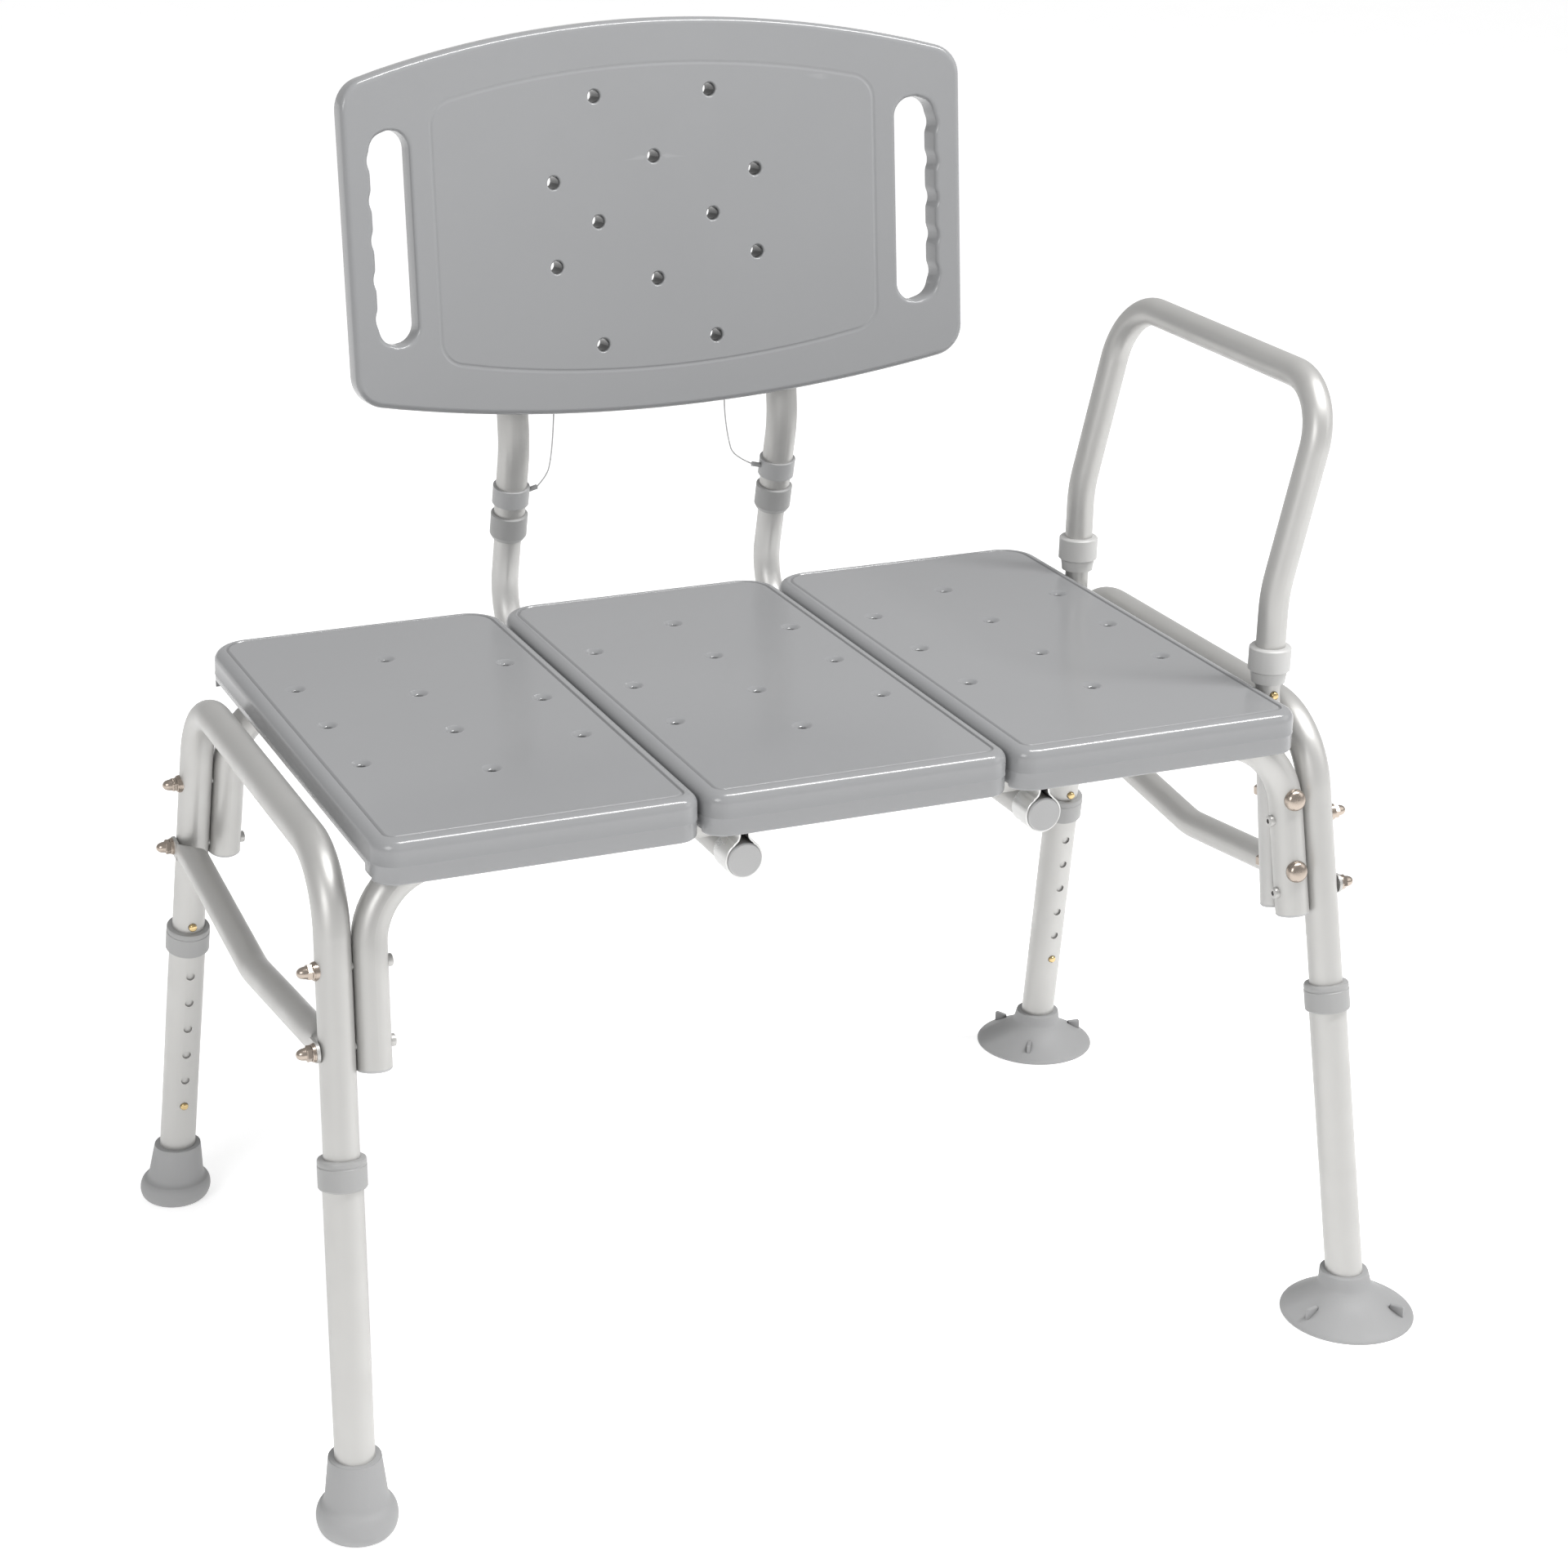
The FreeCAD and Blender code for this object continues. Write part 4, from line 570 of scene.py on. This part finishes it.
# ---------------------------------------------------------------- collars and buttons
def leg_axis(side, end):
    """The direction in which a leg runs upwards."""
    return Vector((-side * LEAN[0], -end * LEAN[1], 1)).normalized()


# (height, radius) pairs along the leg, from the extension's top, and along a button, from its tube's side
COLLAR_LINE = [(-17.5, 14.4), (-17.5, 15.8), (-17.1, 16.6), (-16.1, 17.2), (-1.2, 17.2), (-0.8, 16.8),
               (0.2, 16.8), (0.6, 17.1), (2.6, 17.1), (3.6, 16.6), (4, 15.6), (4, 12.9)]
BUTTON = [(-5, 0.3), (-5, 3.17), (1.3, 3.17), (1.9, 3.05), (2.4, 2.6), (2.75, 1.8), (2.95, 0.9), (3.0, 0.05)]
for side_name, side in SIDES.items():
    for end_name, end in ENDS.items():
        tag = side_name + "_" + end_name
        up = leg_axis(side, end)
        top = leg_point(side, end, 229.5)
        verts, faces = turned(COLLAR_LINE, top, up, (0, 1, 0), 56)
        piece("collar_" + tag + "_skin", verts, faces, COLLAR, "leg_" + tag,
              ["leg_collar_" + tag], 30)
        inward = -end * (Vector((0, 1, 0)) - up * up.y).normalized()
        # a lower button stands 0.6 mm less proud than an upper one
        for kind, drop, surface in (("upper", 220.0, TUBE_R), ("lower", 390.0, EXTENSION_R - 0.6)):
            base = leg_point(side, end, drop) + inward * surface
            verts, faces = turned(BUTTON, base, inward)
            name = "%s_%s" % (kind, tag)
            piece("stud_" + name, verts, faces, BRASS, "button_" + name, ["leg_button_" + name], 40)

for end_name, end in ENDS.items():
    base = point(BAR_X, BAR_Y[0] + end * (BAR_Y[1] + BAR_POST_R), 8.0)
    verts, faces = turned(BUTTON, base, (0, end, 0))
    piece("stud_bar_" + end_name, verts, faces, BRASS, "button_grab_bar_" + end_name,
          ["grab_bar_button_" + end_name], 40)


# ---------------------------------------------------------------- bolts and nuts
NUT_DOME = smooth_profile([(4.4, 4.6), (4.4, 4.6), (6.5, 4.3), (8.5, 3.9), (10.2, 3.1), (11.4, 1.8),
                           (12, 0.05)], 4)
NUT_COLLAR = [(0, 5.6), (0, 6.3), (0.9, 6.3), (1.3, 5.8)]
BOLT_HEAD = [(1.2, 4.3), (-1.9, 4.5), (-2.7, 4.2), (-3.2, 3.2), (-3.3, 1.8), (-2.2, 1.7), (-2.2, 0.05)]
BOLT_R = 3.0
nuts, heads = [], []
for side in SIDES.values():
    for end in ENDS.values():
        # the nuts sit on a washer above, and on a brace's end and a washer below
        for drop, stack in ((96.0, 1.2), (151.0, 4.1)):
            out = Vector((side, 0, 0))
            seat = leg_point(side, end, drop) + out * (TUBE_R + stack)
            # each pair of nuts is turned by its own amount, as when tightened
            hint = Vector((0, math.cos(drop), math.sin(drop)))
            nuts += [hexagon(seat, out, hint, 10.0, 0, 5.0), turned(NUT_DOME, seat, out),
                     turned(NUT_COLLAR, seat, out)]
            stub = leg_point(side, end, drop, STUB_INSET) - out * TUBE_R
            heads.append(turned(BOLT_HEAD, stub, out))
            shank_end = (seat - stub).length + 2
            heads.append(turned([(-1, BOLT_R), (shank_end, BOLT_R)], stub, out, count=24))
verts, faces = join(nuts)
piece("acorn_nut_set", verts, faces, NICKEL, "frame", ["acorn_nuts"], 32)
verts, faces = join(heads)
piece("frame_bolt_set", verts, faces, TUBE, "frame", ["frame_bolts"], 32)

DOME = smooth_profile([(-2.6, 7.9), (-2.6, 7.9), (-1.4, 8.3), (0.2, 8.4), (1.6, 8.2), (3.2, 7.4), (4.6, 5.8),
                       (5.4, 3.4), (5.7, 0.05)], 4)
domes = []
for end in ENDS.values():
    for drop in (80.0, 134.0):
        axis = Vector((0, end, LEAN[1])).normalized()
        stub = leg_point(1, end, drop, STUB_INSET)
        middle = Vector((point(BAR_X, 0, 0).x, stub.y, stub.z))
        domes.append(turned(DOME, middle + axis * TUBE_R, axis))
        domes.append(turned([(-38.5, BOLT_R), (13, BOLT_R)], middle, axis, count=24))
verts, faces = join(domes)
piece("dome_bolt_set", verts, faces, NICKEL, "frame", ["grab_bar_post_bolts"], 40)


# ---------------------------------------------------------------- clamp straps under the seat
STRAP_THICK = 1.5
STRAP_WIDE = 22.0


def strap_line():
    """The strap's middle line: flange, neck, round the tube and back, from left to right."""
    half = smooth_profile([(19.2, 28.25), (12, 28.25), (7.6, 27.7), (5, 25.4), (3.7, 21.4), (3.6, 17.6),
                           (4.6, 14.6), (6.8, 12.4)])
    turns = [math.radians(a) for a in range(56, -91, -6)]
    radius = TUBE_R + STRAP_THICK / 2
    half += [(radius * math.cos(a), radius * math.sin(a)) for a in turns]
    return [(-x, z) for x, z in half] + [(x, z) for x, z in half[-2::-1]]


def strap_mesh(x, front, rail_y):
    """One strap round a receiver, notched where the rail passes through it."""
    line = [Vector((a, 0, b)) for a, b in strap_line()]
    start = point(x, front, 57.5)
    half, wide, bevel = STRAP_THICK / 2, STRAP_WIDE, 0.3
    corners = [(half, bevel), (half, wide - bevel), (half - bevel, wide), (bevel - half, wide),
               (-half, wide - bevel), (-half, bevel), (bevel - half, 0), (half - bevel, 0)]
    rings = []
    for i, here in enumerate(line):
        along = (line[min(i + 1, len(line) - 1)] - line[max(i - 1, 0)]).normalized()
        normal = Vector((0, 1, 0)).cross(along)
        rings.append([start + here + normal * a + Vector((0, b, 0)) for a, b in corners])
    notch_r = 12.85
    rail = turned([(-40, notch_r), (40, notch_r)], point(x, rail_y, RAIL_DROP), (1, 0, 0), count=48)
    return carve(object_from(skin(rings), "strap"), [rail])


straps = []
for x in (BACK_X - BACK_TUBE_X, BACK_X + BACK_TUBE_X):
    for front, rail_y in ((-195, -RAIL_Y), (173, RAIL_Y)):
        mesh = strap_mesh(x, front, rail_y)
        straps.append(([v.co.copy() for v in mesh.vertices], [tuple(f.vertices) for f in mesh.polygons]))
verts, faces = join(straps)
piece("strap_set", verts, faces, STRAP, "frame", ["receiver_clamps"], 30)


# ---------------------------------------------------------------- tethers
# (x, y, height over the seat) control points from the clip's hook up to the backrest's lower edge
TETHERS = {
    "left": [(-66.6, 288.0, 78.4), (-59.5, 283.5, 88), (-56.5, 282.5, 101), (-54.6, 282, 122),
             (-53.8, 281.5, 144), (-53.8, 280, 163), (-53.8, 272, 170)],
    "right": [(123.6, 288.0, 78.4), (104.6, 283.5, 88), (99.5, 282.5, 103), (96, 282, 123),
              (94.6, 281.5, 144), (94.2, 280, 163), (94.2, 272.5, 170)],
}
for name, length in (("left", 0.098), ("right", 0.107)):
    line = [point(x, y, -z) * 0.001 for x, y, z in TETHERS[name]]
    curve = bpy.data.curves.new("tether_" + name + "_line", "CURVE")
    curve.dimensions = "3D"
    curve.bevel_depth = 0.0012 / 2
    curve.bevel_resolution = 4
    curve.use_fill_caps = True
    spline = curve.splines.new("NURBS")
    spline.points.add(len(line) - 1)
    for control, p in zip(spline.points, line):
        control.co = (*p, 1)
    spline.order_u = 3
    spline.use_endpoint_u = True
    spline.resolution_u = 12
    curve.materials.append(CORD)
    obj = bpy.data.objects.new("tether_" + name + "_cord", curve)
    bpy.context.scene.collection.objects.link(obj)
    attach(obj, "backrest")
    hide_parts("tether_" + name)

# ---------------------------------------------------------------- camera, floor and light
camera = bpy.data.objects.new("camera", bpy.data.cameras.new("camera"))
bpy.context.scene.collection.objects.link(camera)
camera.location = (-0.9472, -2.1340, 1.3162)
yaw, pitch, roll = math.radians(21.97), math.radians(21.43), math.radians(0.30)
camera.rotation_euler = (Matrix.Rotation(-yaw, 3, "Z") @ Matrix.Rotation(math.pi / 2 - pitch, 3, "X")
                         @ Matrix.Rotation(roll, 3, "Z")).to_euler()
camera.data.lens = 75.34
camera.data.sensor_width = 36.0
camera.data.shift_x = 0.0813
bpy.context.scene.camera = camera

# a plain white studio: the floor glows a little, so that it stays white up to the horizon
FLOOR = material("floor", (0.9, 0.9, 0.9), 0.7, grain=300, bump=0.02, vary=0.01)
glow = FLOOR.node_tree.nodes["Principled BSDF"].inputs
glow["Emission Color"].default_value = (1, 1, 1, 1)
glow["Emission Strength"].default_value = 0.5
floor = bpy.data.meshes.new("floor")
reach = 60.0
floor.from_pydata([(-reach, -reach, 0), (reach, -reach, 0), (reach, reach, 0), (-reach, reach, 0)], [],
                  [(0, 1, 2, 3)])
floor.materials.append(FLOOR)
floor_object = bpy.data.objects.new("floor", floor)
bpy.context.scene.collection.objects.link(floor_object)


def lamp(name, place, tilt, size_x, size_y, power):
    """An area lamp that looks straight down, tilted about X and then Y by degrees."""
    data = bpy.data.lights.new(name, "AREA")
    data.shape = "RECTANGLE"
    data.size, data.size_y = size_x, size_y
    data.energy = power
    obj = bpy.data.objects.new(name, data)
    bpy.context.scene.collection.objects.link(obj)
    obj.location = place
    obj.rotation_euler = (math.radians(tilt[0]), math.radians(tilt[1]), 0)


# the strip draws the bright lines along the seat's front edges
lamp("strip", (1.1, -0.9, 3.2), (14, 23), 2.4, 0.3, 96)
lamp("front", (-2.6, -2.3, 2.2), (48, -42), 1.5, 1.5, 38)
lamp("side", (2.6, -1.2, 1.6), (25, 62), 1.2, 1.8, 8)
bpy.context.scene.view_settings.view_transform = "Standard"
world = bpy.data.worlds.new("studio")
bpy.context.scene.world = world
world.use_nodes = True
world.node_tree.nodes["Background"].inputs["Color"].default_value = (1.0, 1.0, 1.0, 1)
world.node_tree.nodes["Background"].inputs["Strength"].default_value = 0.52
